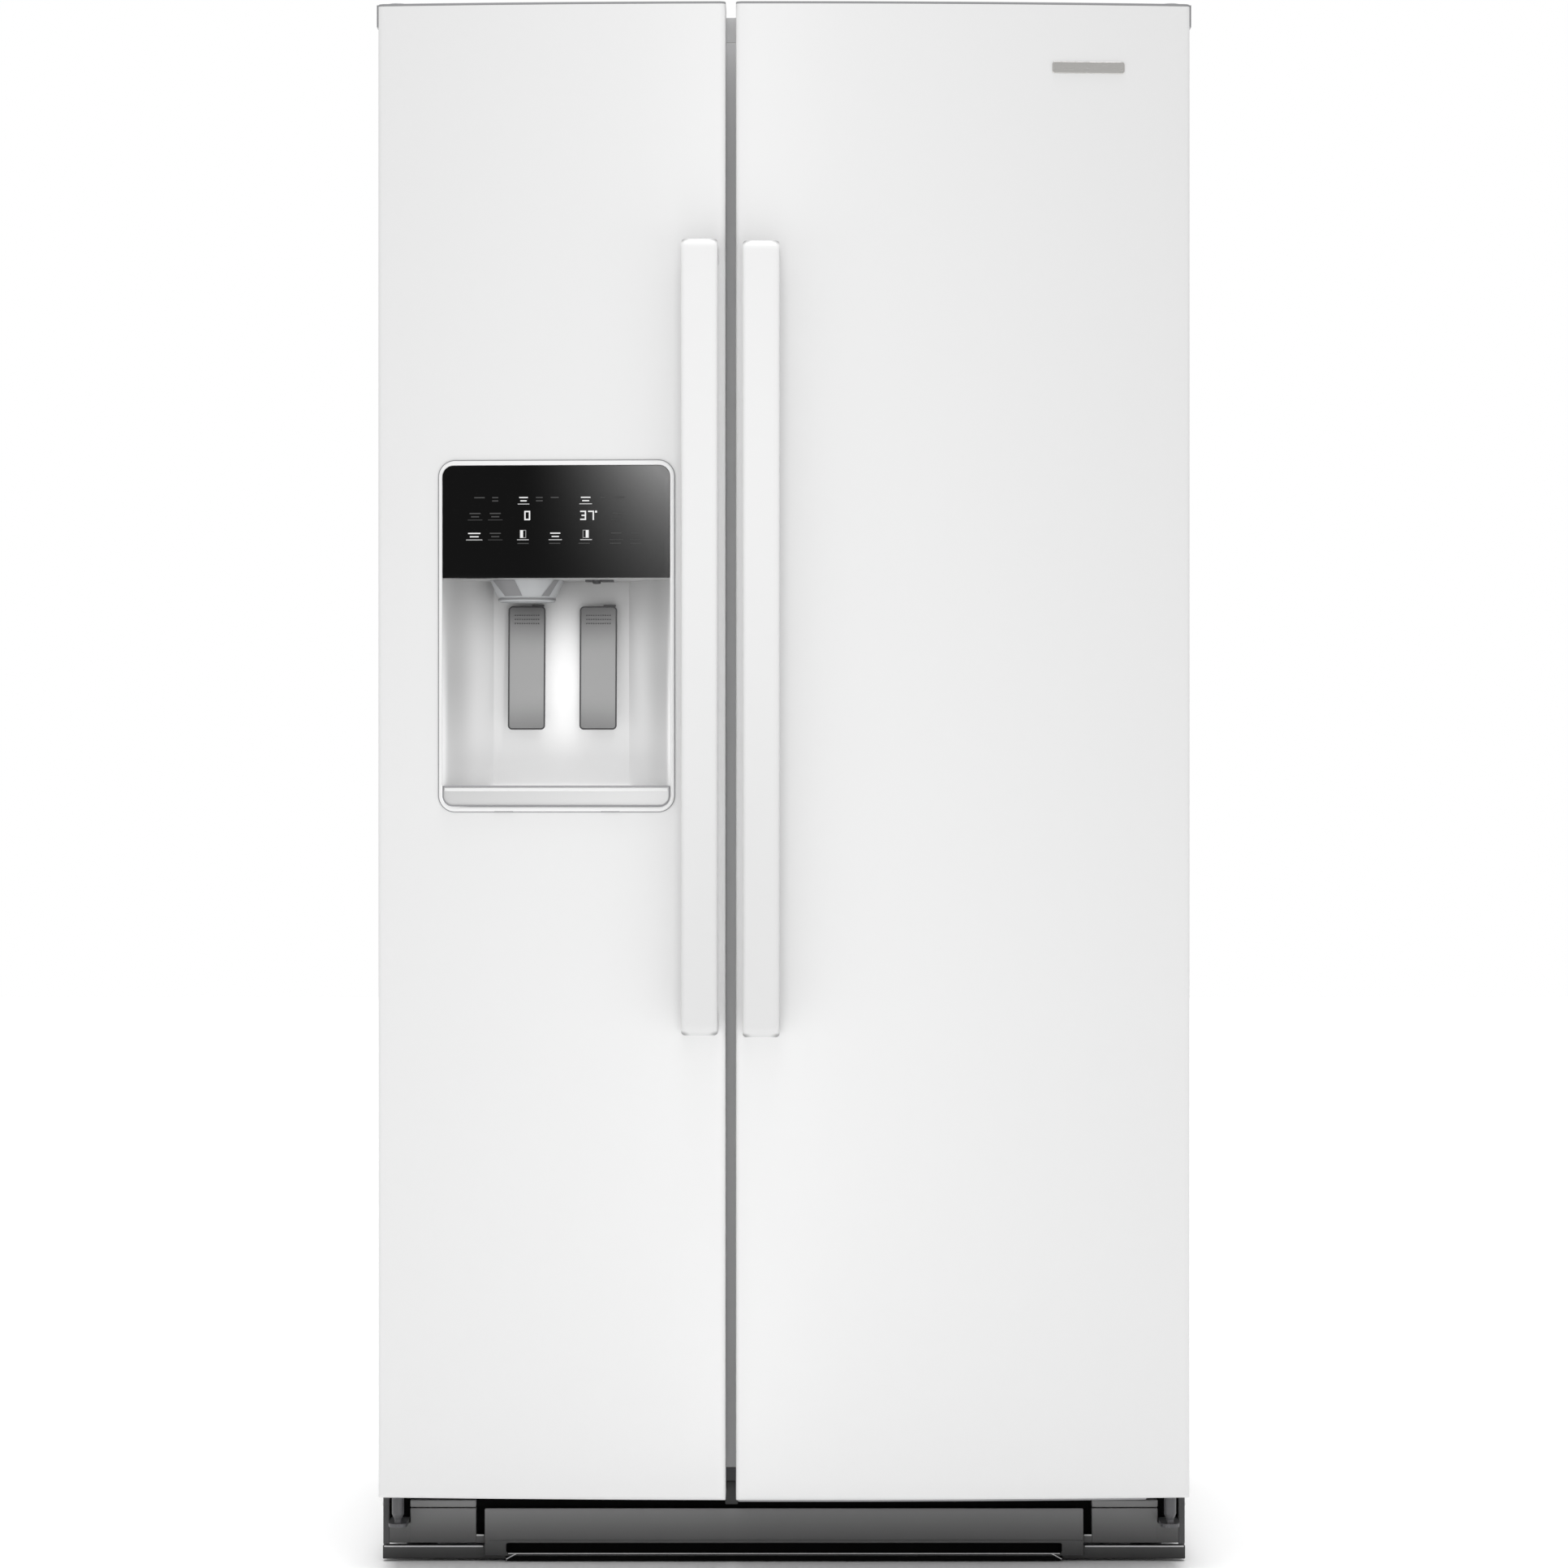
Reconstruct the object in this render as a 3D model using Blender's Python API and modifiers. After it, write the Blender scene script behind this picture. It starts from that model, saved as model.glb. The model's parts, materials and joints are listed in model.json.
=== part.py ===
"""Side by side refrigerator, an assembly of 60 separate pieces, in metres with +Z up.

The doors face -Y and X runs to the right as one faces them. The origin is on the floor under the middle of
the whole object. Pieces that ride on a door are children of an empty on that door's hinge axis.
"""

import math

import bmesh
import bpy
from mathutils import Matrix, Vector

# ---- sizes -------------------------------------------------------------------------------------------------
GAP = 0.0003  # between pieces that touch
SHEET = 0.0012  # painted steel sheet
PLASTIC = 0.002  # vacuum formed liners

HALF_WIDTH = 0.453  # cabinet
TOP = 1.7446
FRONT, BACK = -0.297, 0.433
SIDE_FOOT = 0.021  # lower edge of the side panels

DOOR_EDGE = 0.4535  # outer edge of either door
DOOR_LOW, DOOR_TOP = 0.080, 1.749
DOOR_PLANE = -0.359  # door front at its outer edge
DOOR_BACK = -0.3092
BOW = 0.019  # how far the middle of the two doors stands ahead of their outer edges
FREEZER_DOOR = (-DOOR_EDGE, -0.065)
REFRIGERATOR_DOOR = (-0.0535, DOOR_EDGE)
PIN_X, PIN_Y, PIN_RADIUS = 0.4335, -0.333, 0.005

FREEZER = (-0.4085, -0.087)  # compartment, inside the liner
REFRIGERATOR = (-0.031, 0.4085)
ROOM_FLOOR, ROOM_TOP, ROOM_BACK = 0.110, 1.690, 0.365
STEP_FRONT, STEP_TOP = 0.110, 0.370  # raised rear floor over the machine compartment
MACHINE_FRONT, MACHINE_TOP = 0.145, 0.3297
DECK = 0.083

DISPENSER = (-0.385, -0.122, 0.847, 1.238)  # outer edge of its bezel
DISPENSER_CORNER = 0.018
RECESS = (-0.381, -0.126, 0.876, 1.107)
RECESS_BACK = -0.300
CHUTE_X = -0.2885
PADDLES = {"ice_paddle": (-0.3104, -0.2692), "water_paddle": (-0.2299, -0.1886)}
PADDLE_PIVOT = (-0.3075, 1.0765)

HANDLES = {"freezer": (-0.1134, -0.0732), "refrigerator": (-0.0456, -0.0050)}
HANDLE_LOW, HANDLE_TOP, HANDLE_FRONT = 0.600, 1.479, -0.433

# ---- scene -------------------------------------------------------------------------------------------------
for old in list(bpy.data.objects):
    bpy.data.objects.remove(old, do_unlink=True)

PARTS = bpy.data.collections.new("side_by_side_refrigerator")
CUTTERS = bpy.data.collections.new("cutters")
for group in (PARTS, CUTTERS):
    bpy.context.scene.collection.children.link(group)

WHITE = ((0.86, 0.86, 0.85), 0.0, 0.32)
LINER = ((0.88, 0.89, 0.90), 0.0, 0.40)
GREY = ((0.42, 0.43, 0.44), 0.0, 0.50)
DARK = ((0.10, 0.10, 0.11), 0.0, 0.55)
BLACK = ((0.015, 0.015, 0.017), 0.0, 0.20)
RUBBER = ((0.55, 0.55, 0.56), 0.0, 0.80)
STEEL = ((0.55, 0.56, 0.57), 1.0, 0.35)
FOAM = ((0.83, 0.74, 0.48), 0.0, 0.90)
CLEAR = ((0.80, 0.86, 0.88), 0.0, 0.12)


# ---- helpers -----------------------------------------------------------------------------------------------
def box(x, y, z):
    """Block between pairs of X, Y and Z."""
    bm = bmesh.new()
    middle = [(low + high) / 2 for low, high in (x, y, z)]
    size = [high - low for low, high in (x, y, z)]
    bmesh.ops.create_cube(bm, size=1, matrix=Matrix.Translation(middle) @ Matrix.Diagonal(size + [1]))
    return bm


def prism(outline, axis, low, high):
    """Outline in the two other axes, extruded along axis 0, 1 or 2 from low to high."""
    bm = bmesh.new()
    points = []
    for pair in outline:
        point = list(pair)
        point.insert(axis, low)
        points.append(bm.verts.new(point))
    face = bm.faces.new(points)
    grown = bmesh.ops.extrude_face_region(bm, geom=[face])["geom"]
    rise = Vector((0, 0, 0))
    rise[axis] = high - low
    bmesh.ops.translate(bm, vec=rise, verts=[v for v in grown if isinstance(v, bmesh.types.BMVert)])
    return bm


def turned(profile, centre, axis="Z", steps=16, squash=(1, 1)):
    """Profile of (radius, height) from one end to the other, turned about an axis through centre."""
    bm = bmesh.new()
    points = [bm.verts.new((radius, 0, height)) for radius, height in profile]
    edges = [bm.edges.new(pair) for pair in zip(points, points[1:])]
    if profile[0][0] > 0 and profile[-1][0] > 0:
        edges.append(bm.edges.new((points[-1], points[0])))
    bmesh.ops.spin(
        bm, geom=points + edges, cent=(0, 0, 0), axis=(0, 0, 1), angle=math.tau, steps=steps, use_merge=True
    )
    bmesh.ops.remove_doubles(bm, verts=bm.verts, dist=1e-6)
    lay = {"Z": Matrix(), "X": Matrix.Rotation(math.pi / 2, 4, "Y"), "Y": Matrix.Rotation(-math.pi / 2, 4, "X")}
    shape = Matrix.Translation(centre) @ lay[axis] @ Matrix.Diagonal((squash[0], squash[1], 1, 1))
    bmesh.ops.transform(bm, matrix=shape, verts=bm.verts)
    return bm


def rod(radius, low, high, centre, axis="Z", steps=16):
    """Round bar from low to high along its axis, measured from centre."""
    return turned([(0, low), (radius, low), (radius, high), (0, high)], centre, axis, steps)


def rounded(x, z, radius, steps=4):
    """Rectangle outline with round corners."""
    outline = []
    corners = ((x[1], z[1], 0), (x[0], z[1], 1), (x[0], z[0], 2), (x[1], z[0], 3))
    for corner_x, corner_z, turn in corners:
        middle_x = corner_x + (radius if turn in (1, 2) else -radius)
        middle_z = corner_z + (radius if turn in (2, 3) else -radius)
        for k in range(steps + 1):
            angle = (turn + k / steps) * math.pi / 2
            outline.append((middle_x + radius * math.cos(angle), middle_z + radius * math.sin(angle)))
    return outline


def add(name, bm, look, origin=(0, 0, 0), home=PARTS):
    """Object from a bmesh in world coordinates, with its origin where it turns or slides."""
    bmesh.ops.recalc_face_normals(bm, faces=bm.faces)
    bmesh.ops.translate(bm, vec=-Vector(origin), verts=bm.verts)
    mesh = bpy.data.meshes.new(name)
    bm.to_mesh(mesh)
    bm.free()
    obj = bpy.data.objects.new(name, mesh)
    obj.location = origin
    home.objects.link(obj)
    paint(obj, look)
    return obj


def paint(obj, look):
    """Each piece has its own plain material."""
    if look is None:
        return
    material = bpy.data.materials.new(obj.name)
    material.use_nodes = True
    shader = material.node_tree.nodes["Principled BSDF"]
    colour, metallic, roughness = look
    shader.inputs["Base Color"].default_value = (*colour, 1)
    shader.inputs["Metallic"].default_value = metallic
    shader.inputs["Roughness"].default_value = roughness
    material.diffuse_color = (*colour, 1)
    obj.data.materials.append(material)


def tool(obj, bm, operation, label):
    """Boolean of obj with a hidden helper, which moves with it."""
    helper = add(f"{obj.name}_{label}", bm, None, home=CUTTERS)
    helper.hide_render = True
    helper.display_type = "WIRE"
    helper.parent = obj
    helper.matrix_parent_inverse = Matrix.Translation(obj.location).inverted()
    change = obj.modifiers.new(label, "BOOLEAN")
    change.object = helper
    change.operation = operation
    change.solver = "EXACT"
    return helper


def cut(obj, *shapes):
    for bm in shapes:
        tool(obj, bm, "DIFFERENCE", f"cut_{len(obj.modifiers)}")


def join(obj, *shapes):
    for bm in shapes:
        tool(obj, bm, "UNION", f"join_{len(obj.modifiers)}")


def common(obj, bm):
    tool(obj, bm, "INTERSECT", f"trim_{len(obj.modifiers)}")


def bevel(obj, width, segments=2, angle=40):
    change = obj.modifiers.new("bevel", "BEVEL")
    change.width = width
    change.segments = segments
    change.limit_method = "ANGLE"
    change.angle_limit = math.radians(angle)


def grow(pair, by):
    return (pair[0] - by, pair[1] + by)


def door_front(x):
    """Y of the bowed front of both doors."""
    return DOOR_PLANE - BOW * (1 - (x / DOOR_EDGE) ** 2)


def bowed(x, ahead, back, steps=10, corner=0.0):
    """Plan outline with a flat or bowed back and a front that stands ahead of the bowed door front."""
    inner = [x[0] + corner + (x[1] - x[0] - 2 * corner) * k / steps for k in range(steps + 1)]
    front = [(along, door_front(along) - ahead) for along in inner]
    if corner:
        first, last = door_front(x[0]) - ahead, door_front(x[1]) - ahead
        front = (
            [(x[0], first + corner), (x[0] + 0.3 * corner, first + 0.3 * corner)]
            + front
            + [(x[1] - 0.3 * corner, last + 0.3 * corner), (x[1], last + corner)]
        )
    if callable(back):
        return front + [(along, back(along)) for along in reversed([p[0] for p in front])]
    return front + [(x[1], back), (x[0], back)]


def tray(x, y, z, wall, floor):
    """Open topped box and the block that hollows it."""
    return box(x, y, z), box(grow(x, -wall), grow(y, -wall), (z[0] + floor, z[1] + 0.05))


# ---- cabinet -----------------------------------------------------------------------------------------------
shell = add("cabinet_shell", box((-HALF_WIDTH, HALF_WIDTH), (FRONT, BACK), (SIDE_FOOT, TOP)), WHITE)
cut(
    shell,
    box(grow((-HALF_WIDTH, HALF_WIDTH), -SHEET), (FRONT + SHEET, BACK + 0.1), (-0.1, TOP - SHEET)),
    box((FREEZER[0], REFRIGERATOR[1]), (FRONT - 0.1, FRONT + 0.1), (0.1055, ROOM_TOP)),
    box((FREEZER[1] - GAP, REFRIGERATOR[0] + GAP), (FRONT - 0.1, FRONT + 0.1), (1.6, 1.7168)),
    box((-0.4468, 0.4468), (FRONT - 0.1, FRONT + 0.1), (-0.1, 0.1058)),
)

back_panel = box((-0.4515, 0.4515), (0.4305, 0.432), (MACHINE_TOP + GAP, TOP - SHEET - GAP))
add("back_panel", back_panel, STEEL)


def room(wall, front):
    """Side outline of a compartment with its raised rear floor, grown by wall."""
    return [
        (front, ROOM_FLOOR - wall),
        (STEP_FRONT + wall, ROOM_FLOOR - wall),
        (STEP_FRONT + wall, STEP_TOP - wall),
        (ROOM_BACK + wall, STEP_TOP - wall),
        (ROOM_BACK + wall, ROOM_TOP + wall),
        (front, ROOM_TOP + wall),
    ]


for name, span in (("freezer_liner", FREEZER), ("refrigerator_liner", REFRIGERATOR)):
    wide = grow(span, PLASTIC)
    liner = add(name, prism(room(PLASTIC, FRONT + SHEET + GAP), 0, *wide), LINER)
    cut(liner, prism(room(0, FRONT - 0.1), 0, *span))

foam_side = [
    (FRONT + SHEET + GAP, DECK + SHEET + 2 * GAP),
    (MACHINE_FRONT - SHEET - GAP, DECK + SHEET + 2 * GAP),
    (MACHINE_FRONT - SHEET - GAP, MACHINE_TOP + GAP),
    (0.4302, MACHINE_TOP + GAP),
    (0.4302, TOP - SHEET - GAP),
    (FRONT + SHEET + GAP, TOP - SHEET - GAP),
]
foam = add("cabinet_foam", prism(foam_side, 0, -0.4515, 0.4515), FOAM)
for span in (FREEZER, REFRIGERATOR):
    cut(foam, prism(room(PLASTIC + GAP, FRONT - 0.1), 0, *grow(span, PLASTIC + GAP)))

add("center_rail", box((FREEZER[1], REFRIGERATOR[0]), (FRONT, FRONT + SHEET), (0.1058, 1.7165)), GREY)

# ---- base: frame, feet, rollers, grille --------------------------------------------------------------------
SIDE_RAIL = (0.4485, 0.4505)
deck = box((-0.4505, 0.4505), (FRONT + SHEET + GAP, MACHINE_FRONT - SHEET / 2), (DECK, DECK + SHEET))
frame = add("base_frame", deck, DARK)
join(
    frame,
    box((-0.4465, 0.4465), (FRONT, FRONT + SHEET), (DECK - GAP, 0.1055)),
    box((-0.4460, 0.4460), (FRONT + SHEET / 2, FRONT + 0.010), (DECK - 2 * GAP, DECK + SHEET / 2)),
    box((-0.4505, 0.4505), (MACHINE_FRONT - SHEET, MACHINE_FRONT), (0.040, MACHINE_TOP)),
    box((-0.4505, 0.4505), (MACHINE_FRONT - SHEET, 0.430), (0.040, 0.0415)),
    box((-0.4505, 0.4505), (MACHINE_FRONT - SHEET, 0.430), (MACHINE_TOP - SHEET, MACHINE_TOP)),
)
LEG_X, LEG_Y = 0.415, -0.226
ROLLER_X, ROLLER_Y, ROLLER_RADIUS = (0.4205, 0.4465), 0.385, 0.015
for side in (-1, 1):

    def across(low, high, side=side):
        return tuple(sorted((side * low, side * high)))

    join(
        frame,
        box(across(*SIDE_RAIL), (-0.286, 0.430), (0.030, DECK + SHEET / 2)),
        box(across(0.385, 0.450), (-0.286, -0.200), (0.0495, 0.0565)),
        box(across(*SIDE_RAIL), (0.370, 0.400), (0.006, 0.045)),
        box(across(0.4165, 0.4185), (0.370, 0.400), (0.006, 0.041)),
        rod(0.0028, 0, 0.032, (side * 0.433 - 0.016, ROLLER_Y, ROLLER_RADIUS), "X", 12),
    )
    cut(frame, rod(0.0044, 0, 0.05, (side * LEG_X, LEG_Y, 0.03), "Z", 16))

for label, side in (("left", -1), ("right", 1)):
    leg = [(0, 0), (0.016, 0), (0.018, 0.003), (0.018, 0.009), (0.009, 0.012), (0.009, 0.022)]
    leg += [(0.004, 0.0225), (0.004, 0.070), (0, 0.070)]
    centre = (side * LEG_X, LEG_Y, 0)
    add(f"leveling_leg_{label}", turned(leg, centre, steps=16), DARK, centre)
    centre = (side * 0.4335, ROLLER_Y, ROLLER_RADIUS)
    half = (ROLLER_X[1] - ROLLER_X[0]) / 2
    tread = [(0.0032, -half), (ROLLER_RADIUS, -half), (ROLLER_RADIUS, half), (0.0032, half)]
    add(f"rear_roller_{label}", turned(tread, centre, "X", 24), DARK, centre)

GRILLE_FRONT, GRILLE_BACK = -0.3005, -0.2885
grille = add("base_grille", box((-0.4535, 0.4535), (GRILLE_FRONT, GRILLE_BACK), (0.002, 0.020)), DARK)
bevel(grille, 0.0015, 1)
join(grille, prism(rounded((-0.3400, 0.3400), (0.004, 0.060), 0.006, 2), 1, GRILLE_FRONT - 0.006, GRILLE_BACK))
cut(
    grille,
    prism(rounded((-0.3150, 0.3150), (0.0095, 0.0222), 0.006, 3), 1, -0.4, -0.2),
    prism(rounded((-0.3300, 0.3300), (0.026, 0.054), 0.004, 2), 1, GRILLE_FRONT - 0.002, -0.2),
)
for side in (-1, 1):
    low, high = sorted((side * 0.4464, side * 0.3479))
    cover = prism(rounded((low, high), (0.015, 0.0689), 0.002, 1), 1, GRILLE_FRONT, GRILLE_BACK)
    notch = sorted((side * 0.47, side * 0.4223))
    join(grille, cover)
    cut(grille, box(notch, (-0.4, -0.2), (0.0436, 0.08)))

# ---- hinges ------------------------------------------------------------------------------------------------
TONGUE = (0.0443, 0.0483)
for label, side in (("left", -1), ("right", 1)):
    pin = (side * PIN_X, PIN_Y, 0)
    wide = tuple(sorted((side * 0.4445, side * 0.4235)))
    low = add(f"bottom_hinge_{label}", box(wide, (PIN_Y, -0.2105), TONGUE), DARK)
    join(low, rod(0.0105, TONGUE[0], TONGUE[1], pin, steps=20))
    shaft = [(0, 0.046), (0.004, 0.046), (0.004, 0.0522), (0.0068, 0.0586), (0.0068, 0.0775)]
    shaft += [(PIN_RADIUS, 0.0777), (PIN_RADIUS, 0.098), (0, 0.098)]
    join(low, turned(shaft, pin, steps=16))

    step = [
        (-0.333, 1.7495), (-0.280, 1.7495), (-0.276, 1.7449), (-0.190, 1.7449),
        (-0.190, 1.7479), (-0.274, 1.7479), (-0.278, 1.7525), (-0.333, 1.7525),
    ]
    high = add(f"top_hinge_{label}", prism(step, 0, side * PIN_X - 0.012, side * PIN_X + 0.012), STEEL)
    join(
        high,
        rod(0.012, 1.7495, 1.7525, pin, steps=20),
        box(sorted((side * 0.388, side * 0.447)), (-0.240, -0.190), (1.7449, 1.7479)),
        rod(PIN_RADIUS, 1.7305, 1.751, pin, steps=16),
    )
    wide = tuple(sorted((side * 0.380, side * 0.4520)))
    lid = add(f"hinge_cover_{label}", box(wide, (-0.290, -0.175), (1.7449, 1.7575)), WHITE)
    bevel(lid, 0.004, 2)
    cut(lid, box(grow(wide, -0.002), (-0.288, -0.177), (1.74, 1.7555)))
    cut(lid, box((side * PIN_X - 0.0130, side * PIN_X + 0.0130), (-0.30, -0.28), (1.74, 1.7532)))

# ---- cold and machine pieces -------------------------------------------------------------------------------
cover = box((-0.4515, 0.4515), (0.4305, 0.432), (0.045, MACHINE_TOP - GAP))
cover = add("machine_cover", cover, STEEL)
slots = prism(rounded((-0.40, -0.388), (0.09, 0.28), 0.005, 2), 1, 0.40, 0.45)
helper = tool(cover, slots, "DIFFERENCE", "slots")
repeat = helper.modifiers.new("repeat", "ARRAY")
repeat.count = 18
repeat.use_relative_offset = False
repeat.use_constant_offset = True
repeat.constant_offset_displace = (0.0458, 0, 0)

dome = [(0, 0.060), (0.080, 0.060), (0.086, 0.070), (0.086, 0.140), (0.078, 0.190), (0.050, 0.220), (0, 0.228)]
compressor = add("compressor", turned(dome, (-0.28, 0.30, 0), steps=20, squash=(1.15, 1)), DARK)
join(compressor, box((-0.395, -0.165), (0.215, 0.385), (0.056, 0.064)))
for x in (-0.38, -0.18):
    for y in (0.23, 0.37):
        join(compressor, rod(0.010, 0.0418, 0.058, (x, y, 0), steps=10))


def pipe(name, points, radius, look):
    """Round pipe through points, as a bevelled curve with closed ends."""
    curve = bpy.data.curves.new(name, "CURVE")
    curve.dimensions = "3D"
    line = curve.splines.new("POLY")
    line.points.add(len(points) - 1)
    for place, point in zip(line.points, points):
        place.co = (*point, 1)
    curve.bevel_depth = radius
    curve.bevel_resolution = 1
    curve.use_fill_caps = True
    obj = bpy.data.objects.new(name, curve)
    PARTS.objects.link(obj)
    paint(obj, look)
    return obj


def serpentine(across, along, levels, lead):
    """Zigzag points: to and fro between the two across values, stepping along, with cut corners at each turn."""
    points, turn = [], lead
    for k, level in enumerate(levels):
        ends = across if k % 2 == 0 else across[::-1]
        inward = turn if k % 2 == 0 else -turn
        points += [(ends[0], along, level + (turn if k else 0)), (ends[0] + inward, along, level)] if k else [
            (ends[0], along, level)
        ]
        last = k == len(levels) - 1
        points += [(ends[1], along, level)] if last else [
            (ends[1] - inward, along, level), (ends[1], along, level + turn)
        ]
    return points


levels = [0.0475 + 0.028 * k for k in range(8)]
pipe("condenser_coil", serpentine((0.06, 0.40), 0.29, levels, 0.008), 0.0055, DARK)
levels = [0.46 + 0.032 * k for k in range(16)]
pipe("evaporator_coil", serpentine((-0.385, -0.110), 0.340, levels, 0.008), 0.006, STEEL)

FAN = (-0.062, 0.29, 0.150)
motor = add("condenser_fan_motor", rod(0.024, -0.050, 0, FAN, "X", 16), DARK)
join(
    motor,
    box((-0.100, -0.076), (0.278, 0.302), (0.0418, 0.140)),
    rod(0.003, -0.01, 0.026, FAN, "X", 12),
)


def fan(name, hub, axis, radius, blades, look):
    """Hub with a bore and flat tilted blades."""
    ring = [(0.0033, 0), (0.016, 0), (0.016, 0.014), (0.0033, 0.014)]
    obj = add(name, turned(ring, hub, axis, 16), look, hub)
    lay = {"X": Matrix.Rotation(math.pi / 2, 4, "Y"), "Y": Matrix.Rotation(-math.pi / 2, 4, "X")}[axis]
    for k in range(blades):
        bm = box((0.010, radius), (-0.018, 0.018), (-0.001, 0.001))
        tilt = Matrix.Translation((0, 0, 0.007)) @ Matrix.Rotation(math.radians(16), 4, "X")
        spin = Matrix.Rotation(math.tau * k / blades, 4, "Z")
        bmesh.ops.transform(bm, matrix=Matrix.Translation(hub) @ lay @ spin @ tilt, verts=bm.verts)
        join(obj, bm)
    return obj


fan("condenser_fan", (-0.055, 0.29, 0.150), "X", 0.072, 5, DARK)

EVAPORATOR_FAN = (-0.2475, 0.330, 1.30)
duct = add("evaporator_cover", box((-0.4055, -0.0900), (0.300, 0.3645), (0.392, 1.560)), LINER)
cut(duct, box((-0.4035, -0.0920), (0.3025, 0.5), (0.3, 1.558)))
cut(duct, rod(0.062, -0.1, 0.1, (EVAPORATOR_FAN[0], 0.30, EVAPORATOR_FAN[2]), "Y", 24))
join(duct, rod(0.016, -0.0285, -0.006, EVAPORATOR_FAN, "Y", 16), rod(0.003, -0.01, 0.017, EVAPORATOR_FAN, "Y", 12))
for angle in (90, 210, 330):
    arm = box((0.010, 0.068), (-0.004, 0.004), (-0.0285, -0.0255))
    place = Matrix.Translation(EVAPORATOR_FAN) @ Matrix.Rotation(-math.pi / 2, 4, "X")
    bmesh.ops.transform(arm, matrix=place @ Matrix.Rotation(math.radians(angle), 4, "Z"), verts=arm.verts)
    join(duct, arm)
fan("evaporator_fan", EVAPORATOR_FAN, "Y", 0.055, 5, GREY)

maker = add("ice_maker", box((-0.365, -0.130), (-0.165, -0.045), (1.622, 1.6890)), LINER)
cut(maker, box((-0.355, -0.160), (-0.155, -0.055), (1.660, 1.75)))
join(maker, box((-0.405, -0.360), (-0.150, -0.060), (1.640, 1.6895)))

# ---- shelves, drawers and filter in the compartments -------------------------------------------------------
for name, z in (("freezer_shelf_upper", 1.24), ("freezer_shelf_lower", 0.86)):
    wide = (FREEZER[0] + 0.0005, FREEZER[1] - 0.0005)
    shelf = add(name, box(wide, (-0.160, 0.295), (z - 0.008, z)), STEEL)
    bars = box((wide[0] + 0.010, wide[0] + 0.025), (-0.148, 0.285), (z - 0.02, z + 0.02))
    helper = tool(shelf, bars, "DIFFERENCE", "slots")
    repeat = helper.modifiers.new("repeat", "ARRAY")
    repeat.count = 15
    repeat.use_relative_offset = False
    repeat.use_constant_offset = True
    repeat.constant_offset_displace = (0.0205, 0, 0)

for name, z, front in (
    ("glass_shelf_upper", 1.330, -0.150),
    ("glass_shelf_lower", 0.980, -0.150),
    ("crisper_cover", 0.640, -0.160),
):
    wide = (REFRIGERATOR[0] + 0.0005, REFRIGERATOR[1] - 0.0005)
    shelf = add(name, box(wide, (front, 0.355), (z - 0.005, z)), CLEAR)
    join(shelf, box(wide, (front, front + 0.010), (z - 0.014, z + 0.002)))
    for x in wide:
        edge = sorted((x, x + math.copysign(0.012, 0.18 - x)))
        join(shelf, box(edge, (front + 0.005, 0.300), (z - 0.012, z + 0.001)))

DRAWERS = {
    "crisper_upper": ((-0.0260, 0.3820), (-0.165, 0.300), (0.400, 0.612), CLEAR),
    "crisper_lower": ((-0.0260, 0.3820), (-0.165, 0.095), (0.124, 0.352), CLEAR),
    "freezer_basket": ((-0.3820, -0.0920), (-0.160, 0.290), (0.430, 0.620), LINER),
}
for name, (x, y, z, look) in DRAWERS.items():
    outer, inner = tray(x, y, z, 0.0025, 0.003)
    drawer = add(name, outer, look, (sum(x) / 2, y[0], z[0]))
    cut(drawer, inner)
    middle = sum(x) / 2
    join(drawer, box((middle - 0.08, middle + 0.08), (y[0] - 0.010, y[0] + 0.001), (z[1] - 0.022, z[1] - 0.004)))

FILTER = (0.335, -0.150, 1.655)
housing = add("water_filter_housing", box((0.300, 0.370), (-0.120, 0.140), (1.618, 1.6895)), LINER)
cut(housing, rod(0.0275, -0.02, 0.255, FILTER, "Y", 20))
core = [(0, 0), (0.024, 0), (0.024, 0.012), (0.027, 0.016), (0.027, 0.030), (0.0255, 0.031), (0.0255, 0.240), (0, 0.240)]
cartridge = add("water_filter", turned(core, FILTER, "Y", 20), WHITE, FILTER)
join(cartridge, box((FILTER[0] - 0.020, FILTER[0] + 0.020), (-0.160, -0.148), (FILTER[2] - 0.005, FILTER[2] + 0.005)))

# ---- doors -------------------------------------------------------------------------------------------------
AXES = {}
for label, side in (("freezer", -1), ("refrigerator", 1)):
    axis = bpy.data.objects.new(f"{label}_door_axis", None)
    axis.location = (side * PIN_X, PIN_Y, DOOR_LOW)
    axis.empty_display_size = 0.1
    PARTS.objects.link(axis)
    AXES[label] = axis


def hang(obj, label):
    """Makes obj ride on a door."""
    obj.parent = AXES[label]
    obj.matrix_parent_inverse = Matrix.Translation(AXES[label].location).inverted()
    return obj


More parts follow.
